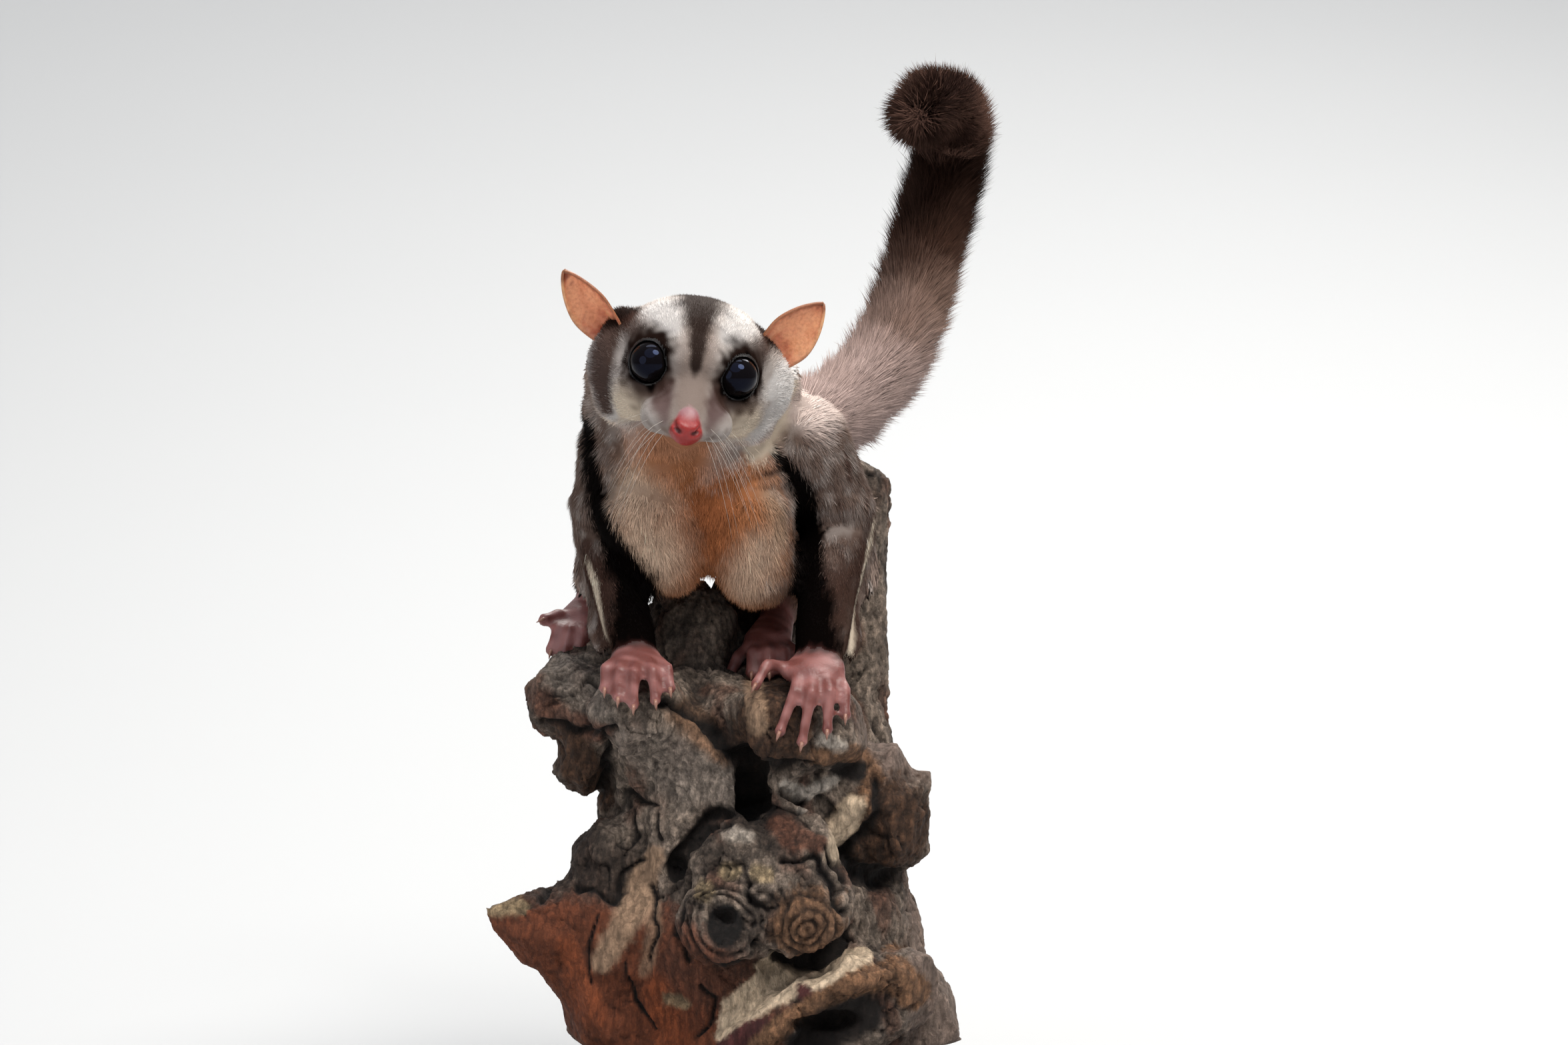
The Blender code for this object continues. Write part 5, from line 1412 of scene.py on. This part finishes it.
# Marks on the branch's front, in order: paint, barkiness, strength, soft edge, spots as (x, z), radii
FRONT_MARKS = (
    (STEM_GREY, 0.15, 0.9, 0.2, ((33.0, 130.0), (31.0, 84.0)), (11.0, 9.5)),
    (STEM_GREY, 0.3, 0.8, 0.3, ((36.0, 52.0), (38.0, 22.0)), (5.0, 7.0)),
    (WOOD_RED, 0.25, 1.0, 0.25, ((-52.0, 46.0), (-38.0, 40.0), (-22.0, 34.0), (-6.0, 22.0)),
     (11.0, 15.0, 17.0, 13.0)),
    (BARK_RED, 0.6, 0.8, 0.5, ((-12.0, 42.0), (0.0, 34.0)), (7.0, 7.0)),
    (BARK_DARK, 1.0, 0.9, 0.4, ((-44.0, 56.0), (-36.0, 62.0), (-27.0, 57.0)), (4.0, 7.0, 5.0)),
    (WOOD_BEIGE, 0.1, 0.95, 0.3, ((-20.0, 62.0), (-24.5, 51.0), (-30.8, 40.5)), (2.0, 3.1, 2.2)),
    (WOOD_BEIGE, 0.1, 0.6, 0.4, ((-21.5, 60.0), (-20.0, 48.0), (-22.0, 38.0)), (1.2, 1.6, 1.2)),
    (WOOD_EMBER, 0.1, 0.7, 0.5, ((-38.0, 44.0), (-33.0, 30.0)), (2.0, 3.0)),
    (WOOD_EMBER, 0.1, 0.8, 0.5, ((-20.0, 36.0), (-16.0, 24.0)), (2.4, 4.0)),
    (LICHEN, 0.7, 0.9, 0.4, ((-53.0, 51.0), (-47.0, 51.6)), (1.6, 1.4)),
    (BARK_GREY, 0.8, 0.85, 0.4, ((-24.0, 85.0), (-14.0, 79.0), (-6.0, 76.6)), (5.0, 7.0, 4.0)),
    (LOBE_GREY, 0.8, 0.7, 0.5, ((-38.0, 98.0), (-30.0, 94.0)), (4.0, 4.0)),
    (BARK_DARK, 1.0, 0.9, 0.4, ((-2.6, 70.0), (3.4, 67.6), (7.0, 63.6)), (2.4, 3.0, 2.0)),
    (BARK_RED, 0.8, 0.8, 0.4, ((-43.0, 92.0), (-38.0, 88.0), (-31.0, 87.0)), (2.6, 3.0, 2.6)),
    (KNOB_BROWN, 0.9, 1.0, 0.25, ((-37.6, 84.0), (-34.4, 78.0), (-32.4, 73.0)), (4.0, 5.0, 4.0)),
    (RIM_BROWN, 0.9, 0.8, 0.4, ((-14.0, 91.0), (-9.6, 87.0), (-5.6, 82.5)), (2.6, 3.2, 2.2)),
    (KNOB_BROWN, 0.9, 1.0, 0.2, ((4.4, 89.0),), (8.8,)),
    (WOOD_BEIGE, 0.2, 0.95, 0.25, ((0.0, 95.4), (0.6, 90.0)), (2.0, 2.2)),
    (KNOB_BROWN, 1.0, 1.0, 0.2, ((26.6, 67.0),), (10.4,)),
    (RIM_BROWN, 0.8, 0.9, 0.3, ((12.4, 82.6), (19.6, 83.0), (24.0, 78.0), (22.6, 72.0)),
     (2.0, 2.2, 2.0, 2.0)),
    (FLAKE_WHITE, 0.35, 0.95, 0.3, ((6.4, 76.6), (10.2, 74.2), (16.0, 77.2)), (1.3, 1.7, 1.2)),
    (FLAKE_WHITE, 0.35, 0.9, 0.4, ((14.6, 86.4), (17.6, 84.8)), (1.8, 1.2)),
    (WOOD_CREAM, 0.15, 0.95, 0.25, ((19.6, 71.2), (16.6, 64.6)), (2.8, 2.6)),
    (BARK_RED, 0.7, 0.9, 0.3, ((4.6, 70.0), (8.0, 67.2), (13.0, 66.2)), (2.2, 2.6, 1.8)),
    # Painted shade in the hollow under the knob's rim
    (WOOD_SHADE, 0.2, 1.0, 0.25, ((17.0, 79.4), (20.6, 78.2)), (1.9, 2.1)),
    (LICHEN, 0.8, 0.9, 0.3, ((-9.9, 56.8),), (2.2,)),
    (LICHEN, 0.8, 0.9, 0.3, ((-5.6, 60.8), (-4.0, 61.0)), (1.5, 1.3)),
    (LICHEN, 0.8, 0.9, 0.3, ((0.4, 60.6), (2.6, 60.2)), (1.4, 1.6)),
    (FLAKE_WHITE, 0.6, 0.6, 0.5, ((-5.6, 68.0), (-1.0, 67.4)), (1.4, 1.2)),
    (LICHEN, 0.8, 0.8, 0.3, ((-17.0, 33.4), (-14.0, 32.6)), (1.4, 1.2)),
    (RIM_BROWN, 0.7, 0.9, 0.2, (SWIRL,), (SWIRL_RADIUS,)),
    (WOOD_CREAM, 0.1, 1.0, 0.12, ((-5.6, 27.0), (-3.6, 31.6), (0.6, 35.4), (4.2, 38.0), (11.0, 39.4),
                                 (17.6, 41.4), (22.4, 42.6)), (2.2, 3.0, 3.3, 3.5, 2.2, 2.5, 1.6)),
    (WOOD_CREAM, 0.1, 1.0, 0.12, ((2.4, 40.6), (3.6, 42.4)), (2.0, 1.2)),
    (WINE, 0.2, 1.0, 0.15, ((9.8, 36.6), (11.6, 35.4)), (1.6, 1.2)),
    (WINE, 0.2, 1.0, 0.15, ((-5.6, 24.0), (-1.0, 28.6), (3.0, 30.4)), (2.4, 2.0, 1.2)),
    # Painted shadow under the swirl knot
    (WOOD_SHADE, 0.2, 1.0, 0.4, ((4.0, 42.0), (10.8, 41.6), (17.6, 45.4)), (0.8, 1.3, 0.8)),
    (RIM_BROWN, 0.8, 1.0, 0.15, ((0.6, 24.6), (5.0, 29.4), (11.6, 33.6), (19.0, 37.6), (27.6, 39.8),
                                (32.0, 35.4)), (2.2, 2.4, 2.4, 2.8, 3.4, 3.6)),
    # Painted shade in the hollow under the lower rim
    (WOOD_SHADE, 0.3, 1.0, 0.25, ((10.0, 25.6), (15.0, 29.0), (22.0, 31.6)), (4.0, 4.6, 4.2)),
)


# Crevices of the front, sunk and given painted shade: spots as (x, z), half-widths
CREVICES = (
    (((-19.5, 95.3), (-13.6, 91.6), (-7.7, 87.1), (-4.0, 83.4), (-1.0, 81.2), (-0.3, 78.2), (-1.0, 72.2)),
     (0.9, 1.1, 1.5, 1.8, 2.2, 2.2, 1.6)),
    (((-1.8, 73.0), (-7.7, 70.8), (-11.4, 67.0), (-15.1, 62.6), (-16.2, 58.1)), (1.4, 1.1, 0.9, 0.8, 0.6)),
    (((-4.7, 69.6), (-9.2, 67.4), (-13.0, 63.4), (-15.4, 58.1)), (0.4, 0.6, 0.5, 0.4)),
    (((-1.0, 81.2), (4.2, 80.4), (9.4, 80.2), (12.0, 82.0)), (1.6, 1.5, 1.1, 0.7)),
    (((-0.3, 75.2), (3.6, 72.6), (7.1, 72.4), (10.0, 73.0)), (1.8, 1.9, 1.2, 0.7)),
    (((-29.9, 87.1), (-29.6, 82.0), (-30.0, 77.0), (-31.4, 73.2), (-33.0, 71.0)), (0.8, 0.9, 0.9, 0.8, 0.6)),
    (((-43.2, 87.9), (-37.3, 86.9), (-31.4, 87.5), (-27.7, 88.9)), (0.7, 0.8, 0.9, 0.5)),
    (((-26.2, 74.5), (-22.5, 72.2), (-19.8, 72.6)), (0.5, 0.6, 0.4)),
    (((-19.9, 70.3), (-18.8, 64.8)), (0.4, 0.4)),
    (((-25.0, 71.0), (-23.6, 66.0), (-26.0, 62.0)), (0.4, 0.4, 0.3)),
    (((-37.3, 68.8), (-38.1, 61.8), (-40.3, 57.0), (-43.0, 53.4)), (0.8, 1.0, 1.0, 0.6)),
    (((-22.0, 61.0), (-26.2, 58.1), (-27.7, 52.9), (-32.1, 54.6), (-35.8, 55.4)), (0.4, 0.5, 0.6, 0.5, 0.5)),
    (((14.4, 65.0), (16.4, 62.4), (19.6, 58.8), (23.8, 56.4), (28.4, 56.0), (31.4, 58.1)),
     (0.8, 1.1, 1.4, 1.5, 1.3, 0.8)),
    (((24.4, 76.4), (24.9, 69.8), (21.9, 65.4), (17.6, 61.6)), (0.8, 1.0, 1.0, 0.9)),
    (((-1.0, 59.4), (-0.3, 54.6), (2.7, 53.7), (5.6, 54.6)), (0.5, 0.6, 0.5, 0.4)),
    (((5.6, 63.3), (11.6, 63.3), (14.5, 60.4), (16.0, 55.9), (17.8, 52.9)), (0.5, 0.6, 0.7, 0.7, 0.8)),
    (((3.4, 43.4), (6.4, 41.4), (10.8, 41.0), (16.2, 44.0), (19.0, 47.7)), (0.8, 1.2, 1.5, 1.4, 0.8)),
    (((-12.1, 57.0), (-14.6, 53.6), (-15.4, 47.4), (-12.9, 42.4)), (0.4, 0.6, 0.6, 0.4)),
    (((-9.0, 43.0), (-5.0, 41.6), (-1.4, 43.0)), (0.4, 0.6, 0.4)),
    (((-20.3, 56.0), (-19.4, 47.0), (-21.0, 41.0)), (0.35, 0.4, 0.3)),
    (((-31.6, 50.7), (-33.6, 43.0), (-33.0, 36.0)), (0.3, 0.4, 0.3)),
    (((-25.8, 40.6), (-24.0, 33.0), (-20.0, 27.0)), (0.3, 0.4, 0.3)),
    (((-11.0, 37.0), (-7.6, 34.6), (-8.6, 29.0), (-12.0, 26.0)), (0.4, 0.5, 0.5, 0.4)),
)
# Ridges of the front: spots as (x, z), half-widths, heights
RIDGES = (
    (((-16.6, 93.6), (-10.6, 89.4), (-5.2, 84.6)), (1.8, 2.0, 1.4), 1.2),
    (((-6.0, 69.6), (-12.2, 65.6), (-16.0, 60.4)), (0.8, 0.8, 0.6), 0.6),
    (((12.4, 82.6), (19.6, 83.4), (24.0, 78.4), (22.6, 72.6)), (1.3, 1.5, 1.3, 1.2), 1.2),
    (((6.4, 76.6), (10.2, 74.2), (16.0, 77.2)), (1.0, 1.3, 1.0), 0.8),
    (((4.6, 70.4), (5.4, 67.6)), (1.3, 1.7), 1.4),
    (((8.4, 67.4), (13.0, 66.6)), (1.7, 1.4), 1.3),
    (((0.6, 24.6), (5.0, 29.4), (11.6, 33.6), (19.0, 37.6), (27.6, 39.8), (32.0, 35.4)),
     (1.6, 1.8, 1.9, 2.2, 2.6, 2.6), 1.5),
    (((25.0, 61.0), (31.0, 63.6), (33.4, 69.0)), (1.4, 1.6, 1.4), 0.9),
    (((24.8, 70.4), (29.6, 73.4), (33.0, 74.2)), (1.2, 1.4, 1.2), 0.8),
    (((-40.6, 101.0), (-34.0, 97.6), (-28.0, 97.0)), (1.3, 1.4, 1.2), 0.8),
    (((-42.0, 96.2), (-35.0, 92.4), (-28.0, 91.8)), (1.3, 1.4, 1.2), 0.8),
    (((-37.6, 84.6), (-35.8, 79.0), (-34.4, 74.0)), (1.8, 2.0, 1.6), 0.9),
)
CREVICE_DEPTH = 1.3
CUT_END = 22.0
BARK_RISE = 0.8
RING_RELIEF = 0.45
SMALL_HOLE = (0.5, 46.4)
SMALL_HOLE_DEPTH = 2.2
BRANCH_VOXEL = 0.58
BRANCH_TRIANGLES = 190000


def bark_relief(points):
    """Height of plates, flakes and fibres in millimetres, and how deep in a crack each spot is."""
    noise.seed_set(SEED)
    height = np.empty(len(points))
    crack = np.empty(len(points))
    for number, spot in enumerate(points):
        spot = Vector(spot)
        warp = noise.noise_vector(spot * 0.10)
        along = Vector((spot.x, spot.y, spot.z * 0.55))
        near, sites = noise.voronoi(along * 0.17 + warp * 0.9)
        broken = smooth_step(-0.1, 0.25, noise.noise(spot * 0.13))
        plate = math.exp(-((near[1] - near[0]) / 0.05) ** 2) * broken
        small, _ = noise.voronoi(along * 0.46 + warp * 1.2 + noise.noise_vector(spot * 0.4) * 0.35)
        flake = math.exp(-((small[1] - small[0]) / 0.10) ** 2)
        fibre = noise.noise(Vector((spot.x * 0.8, spot.y * 0.8, spot.z * 0.14)) + warp)
        height[number] = (0.7 * (noise.cell(sites[0] * 9.0) - 0.5) * broken + 0.3 * fibre
                          + 0.25 * noise.noise(spot * 0.95) - 0.2 * flake)
        crack[number] = max(plate, 0.2 * flake)
    return height, crack


def paint_front(points, normals, colour, barky):
    """Paints the marks of the branch's front and says where the bark is coarse."""
    flat = points * np.array((1.0, 0.0, 1.0))
    facing = smooth_step(0.45, 0.0, normals[:, 1]) * smooth_step(12.0, 4.0, points[:, 1])
    ragged = 1.0 + 0.10 * mottle(points, 2.4, 61) + 0.10 * mottle(points, 1.0, 62)
    ragged += 0.06 * mottle(points, 0.5, 63)
    for paint, coarse, strength, soft, spots, radii in FRONT_MARKS:
        share = near_line(flat, [(x, 0.0, z) for x, z in spots], radii) * ragged
        mask = strength * smooth_step(1.0 + soft, 1.0 - soft, share) * facing
        colour = painted(colour, mask, paint)
        barky = barky + (coarse - barky) * mask
    return colour, barky


def build_branch():
    """The perch with its bark, cracks, bare wood and knots."""
    bm = bmesh.new()
    bm.from_mesh(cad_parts["perch"].data)
    bmesh.ops.scale(bm, vec=(1.0 / MM,) * 3, verts=bm.verts[:])
    bmesh.ops.remove_doubles(bm, verts=bm.verts[:], dist=0.001)
    branch = piece_from("branch", bm, 1.0)
    fused(branch, BRANCH_VOXEL)
    keep_largest(branch)
    mesh = branch.data
    pairs = edges_of(mesh)
    points = relaxed(spots_of(mesh), pairs, np.full(len(mesh.vertices), 0.5), 10)
    set_spots(mesh, points)
    normals = normals_of(mesh)

    height, crack = bark_relief(points)
    colour = np.tile(BARK_PALE, (len(points), 1))
    colour = painted(colour, 0.8 * smooth_step(-0.3, 0.5, mottle(points, 7.0, 51)), BARK_DARK)
    colour = painted(colour, 0.6 * smooth_step(0.1, 0.7, mottle(points, 5.0, 52)), BARK_RED)
    # Painted shade on the wood behind and under the belly
    colour = marked(points, colour, np.ones(len(points)), [(-4.0, 22.0, 86.0), (-2.0, 28.0, 108.0)],
                    (13.0, 13.0), WOOD_SHADE, 0.8, 0.3)
    colour, barky = paint_front(points, normals, colour, np.ones(len(points)))
    relief = 0.25 + 0.75 * barky
    lift = (height - 0.9 * crack) * relief

    flat = points[:, ::2]
    facing = smooth_step(0.3, -0.3, normals[:, 1]) * smooth_step(12.0, 4.0, points[:, 1])
    wander = points * np.array((1.0, 0.0, 1.0))
    wander[:, 0] += 0.7 * mottle(points, 3.2, 66)
    wander[:, 2] += 0.7 * mottle(points, 3.2, 67)
    for spots, radii, tall in RIDGES:
        lift += tall * np.exp(-near_line(wander, [(x, 0.0, z) for x, z in spots], radii) ** 2) * facing
    # Each crevice is sunk and given painted shade
    for spots, radii in CREVICES:
        share = near_line(wander, [(x, 0.0, z) for x, z in spots], radii)
        deep = np.exp(-share ** 2) * facing
        lift -= CREVICE_DEPTH * (0.5 + max(radii)) * deep
        colour = painted(colour, 1.5 * deep, WOOD_SHADE)
    # Rings round the knothole and the swirl knot, with painted shade in their grooves
    for centre, inner, outer, pitch in ((KNOTHOLE, 4.2, 9.5, 1.9), (SWIRL, 0.0, 8.0, 2.1)):
        away = np.linalg.norm((flat - np.array(centre)) * np.array((1.0, 0.9)), axis=1)
        ring = np.sin((away + 0.7 * mottle(points, 3.0, 64)) * math.tau / pitch)
        within = smooth_step(outer, outer - 1.5, away) * smooth_step(inner - 0.6, inner + 0.4, away) * facing
        lift += RING_RELIEF * ring * within
        colour = painted(colour, 0.7 * within * smooth_step(-0.1, -0.9, ring), WOOD_SHADE)
    hole = np.linalg.norm((flat - np.array(KNOTHOLE)) * np.array((1.0, 0.8)), axis=1)
    small_hole = np.linalg.norm(flat - np.array(SMALL_HOLE), axis=1)
    # Painted shade inside the knothole and the small hole
    colour = painted(colour, facing * smooth_step(3.9, 3.1, hole), WOOD_SHADE * 0.6)
    colour = painted(colour, facing * smooth_step(1.5, 0.9, small_hole), WOOD_SHADE * 0.6)
    lift -= SMALL_HOLE_DEPTH * facing * smooth_step(1.6, 0.6, small_hole)

    keep = smooth_step(CUT_END + 0.3, CUT_END + 1.2, points[:, 2]) * smooth_step(138.0, 135.0, points[:, 2])
    lift *= keep
    lift = np.where(lift > 0.0, np.minimum(lift, BARK_RISE) * near_contacts(points), lift)
    points = points + normals * lift[:, None]
    points[:, 2] = np.maximum(points[:, 2], CUT_END)
    set_spots(mesh, points)

    # Painted shade in hollows and in the cracks between bark plates, and lighter colour where the surface
    # bulges out
    sunk = np.sum((relaxed(points, pairs, np.full(len(points), 0.6), 14) - points) * normals_of(mesh), axis=1)
    cavity_shade = np.clip(sunk / 0.7, 0.0, 1.0) * relief
    bulging = np.clip(-sunk / 0.6, 0.0, 1.0)
    colour = painted(colour, np.maximum(0.85 * cavity_shade, 0.8 * crack * relief) * keep, WOOD_SHADE)
    grain = mottle(points * np.array((1.0, 1.0, 0.4)), 0.8, 65)
    colour = colour * (1.0 + 0.35 * bulging + 0.22 * grain)[:, None]
    set_colours(mesh, colour)
    set_value(mesh, "barky", barky)
    shade_smooth(mesh)
    thinned(branch, BRANCH_TRIANGLES)
    mesh = branch.data
    set_spots(mesh, spots_of(mesh) * MM)
    mesh.materials.append(wood_material())
    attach(branch, "root")
    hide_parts("perch")


def near_contacts(points):
    """0 where hands and feet grip the branch, 1 away from them, so that bark doesn't rise into them."""
    keep = np.ones(len(points))
    for name in ("hand_right", "hand_left", "foot_right", "foot_left"):
        keep = np.minimum(keep, smooth_step(0.0, 4.0, from_box(points, name)))
    return keep


# Stand, floor, light and camera

def dress_stand():
    """The disc in satin plastic and the rods in brushed steel."""
    base, tree, shader = new_material("stand_satin", 0.42, (0.035, 0.035, 0.038))
    grain = noise_on_object(tree, 2600.0, 2.0)
    add_bump(tree, shader, grain.outputs["Fac"], 0.08, 0.0002)
    rod, tree, shader = new_material("rod_brushed", 0.3, (0.58, 0.58, 0.6), 1.0)
    for node, look in (("stand_base", base), ("stand_rod_1", rod), ("stand_rod_2", rod)):
        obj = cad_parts[node]
        obj.data.materials.clear()
        obj.data.materials.append(look)


SWEEP_START = 0.5
SWEEP_BEND = 1.6


def build_stage():
    """A pale floor that sweeps up behind, and soft studio lamps, in metres."""
    look, _, shader = new_material("floor_pale", 0.9, (0.50, 0.51, 0.52))
    bm = bmesh.new()
    profile = [(-3.0, 0.0), (SWEEP_START, 0.0)]
    profile += [(SWEEP_START + SWEEP_BEND * math.sin(turn), SWEEP_BEND - SWEEP_BEND * math.cos(turn))
                for turn in (math.pi / 2 * step / 24 for step in range(1, 25))]
    profile.append((SWEEP_START + SWEEP_BEND, 3.0))
    verts = [bm.verts.new((-3.5, y, z)) for y, z in profile]
    edges = [bm.edges.new(pair) for pair in zip(verts, verts[1:])]
    grown = bmesh.ops.extrude_edge_only(bm, edges=edges)["geom"]
    moved = [item for item in grown if isinstance(item, bmesh.types.BMVert)]
    bmesh.ops.translate(bm, vec=(7.0, 0.0, 0.0), verts=moved)
    bmesh.ops.recalc_face_normals(bm, faces=bm.faces[:])
    floor = piece_from("floor", bm, 1.0)
    shade_smooth(floor.data)
    floor.data.materials.append(look)

    world = bpy.data.worlds.new("studio")
    bpy.context.scene.world = world
    world.use_nodes = True
    world.node_tree.nodes["Background"].inputs["Color"].default_value = (0.95, 0.96, 1.0, 1.0)
    world.node_tree.nodes["Background"].inputs["Strength"].default_value = 0.22
    add_light("key", (0.42, -0.50, 1.10), 0.6, 15.0, (1.0, 0.95, 0.88))
    add_light("back", (0.25, 0.85, 0.95), 0.8, 14.0, (1.0, 0.97, 0.92))
    add_light("fill", (-0.9, -0.8, 0.40), 0.9, 3.5, (1.0, 0.96, 0.92))
    add_light("sky", (-0.1, -0.75, 1.25), 1.5, 7.0, (0.80, 0.88, 1.0))
    add_light("backdrop", (0.0, 0.5, 1.9), 1.2, 13.0, (1.0, 1.0, 1.0), aim=(0.0, 1.9, 0.5))
    bpy.context.scene.view_settings.view_transform = 'Standard'


ANIMAL_MIDDLE = (-0.01, -0.01, 0.14)


def add_light(name, place, size, power, colour, aim=ANIMAL_MIDDLE):
    """A round soft lamp, in metres and watts, turned to its aim."""
    lamp = bpy.data.lights.new(name, 'AREA')
    lamp.shape = 'DISK'
    lamp.size = size
    lamp.energy = power
    lamp.color = colour
    obj = bpy.data.objects.new(name, lamp)
    bpy.context.scene.collection.objects.link(obj)
    obj.location = place
    obj.rotation_euler = (Vector(aim) - Vector(place)).to_track_quat('-Z', 'Y').to_euler()


CAMERA_LENS = 150.0
CAMERA_AIM = Vector((6.0, -24.0, 130.0)) * MM
CAMERA_RISE = math.radians(5.0)
CAMERA_REACH = 1.3


def build_camera():
    """The photo's view: a long lens from just above the animal's eyes."""
    lens = bpy.data.cameras.new("camera")
    lens.lens = CAMERA_LENS
    lens.sensor_width = 36.0
    camera = bpy.data.objects.new("camera", lens)
    bpy.context.scene.collection.objects.link(camera)
    camera.location = CAMERA_AIM + Vector((0.0, -math.cos(CAMERA_RISE), math.sin(CAMERA_RISE))) * CAMERA_REACH
    camera.rotation_euler = (CAMERA_AIM - camera.location).to_track_quat('-Z', 'Y').to_euler()
    bpy.context.scene.camera = camera


def main():
    lie = Lie()
    skin = build_skin(lie)
    skin.data.materials.append(underfur_material())
    skin.data.materials.append(bare_skin_material())
    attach(skin, "root")
    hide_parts(*FLESH, *TAIL_NODES)
    guide = unwrap_guide(skin)
    fur = coat_material()
    for piece in build_coats(skin, lie, guide, fur):
        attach(piece, "root")
    for piece in build_brush(skin, lie, guide, fur):
        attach(piece, "root")
    build_eyes()
    ears = ear_material()
    for name, side in SIDES:
        build_ear(name, side, ears)
    build_whiskers()
    build_claws()
    build_branch()
    dress_stand()
    build_stage()
    build_camera()


main()
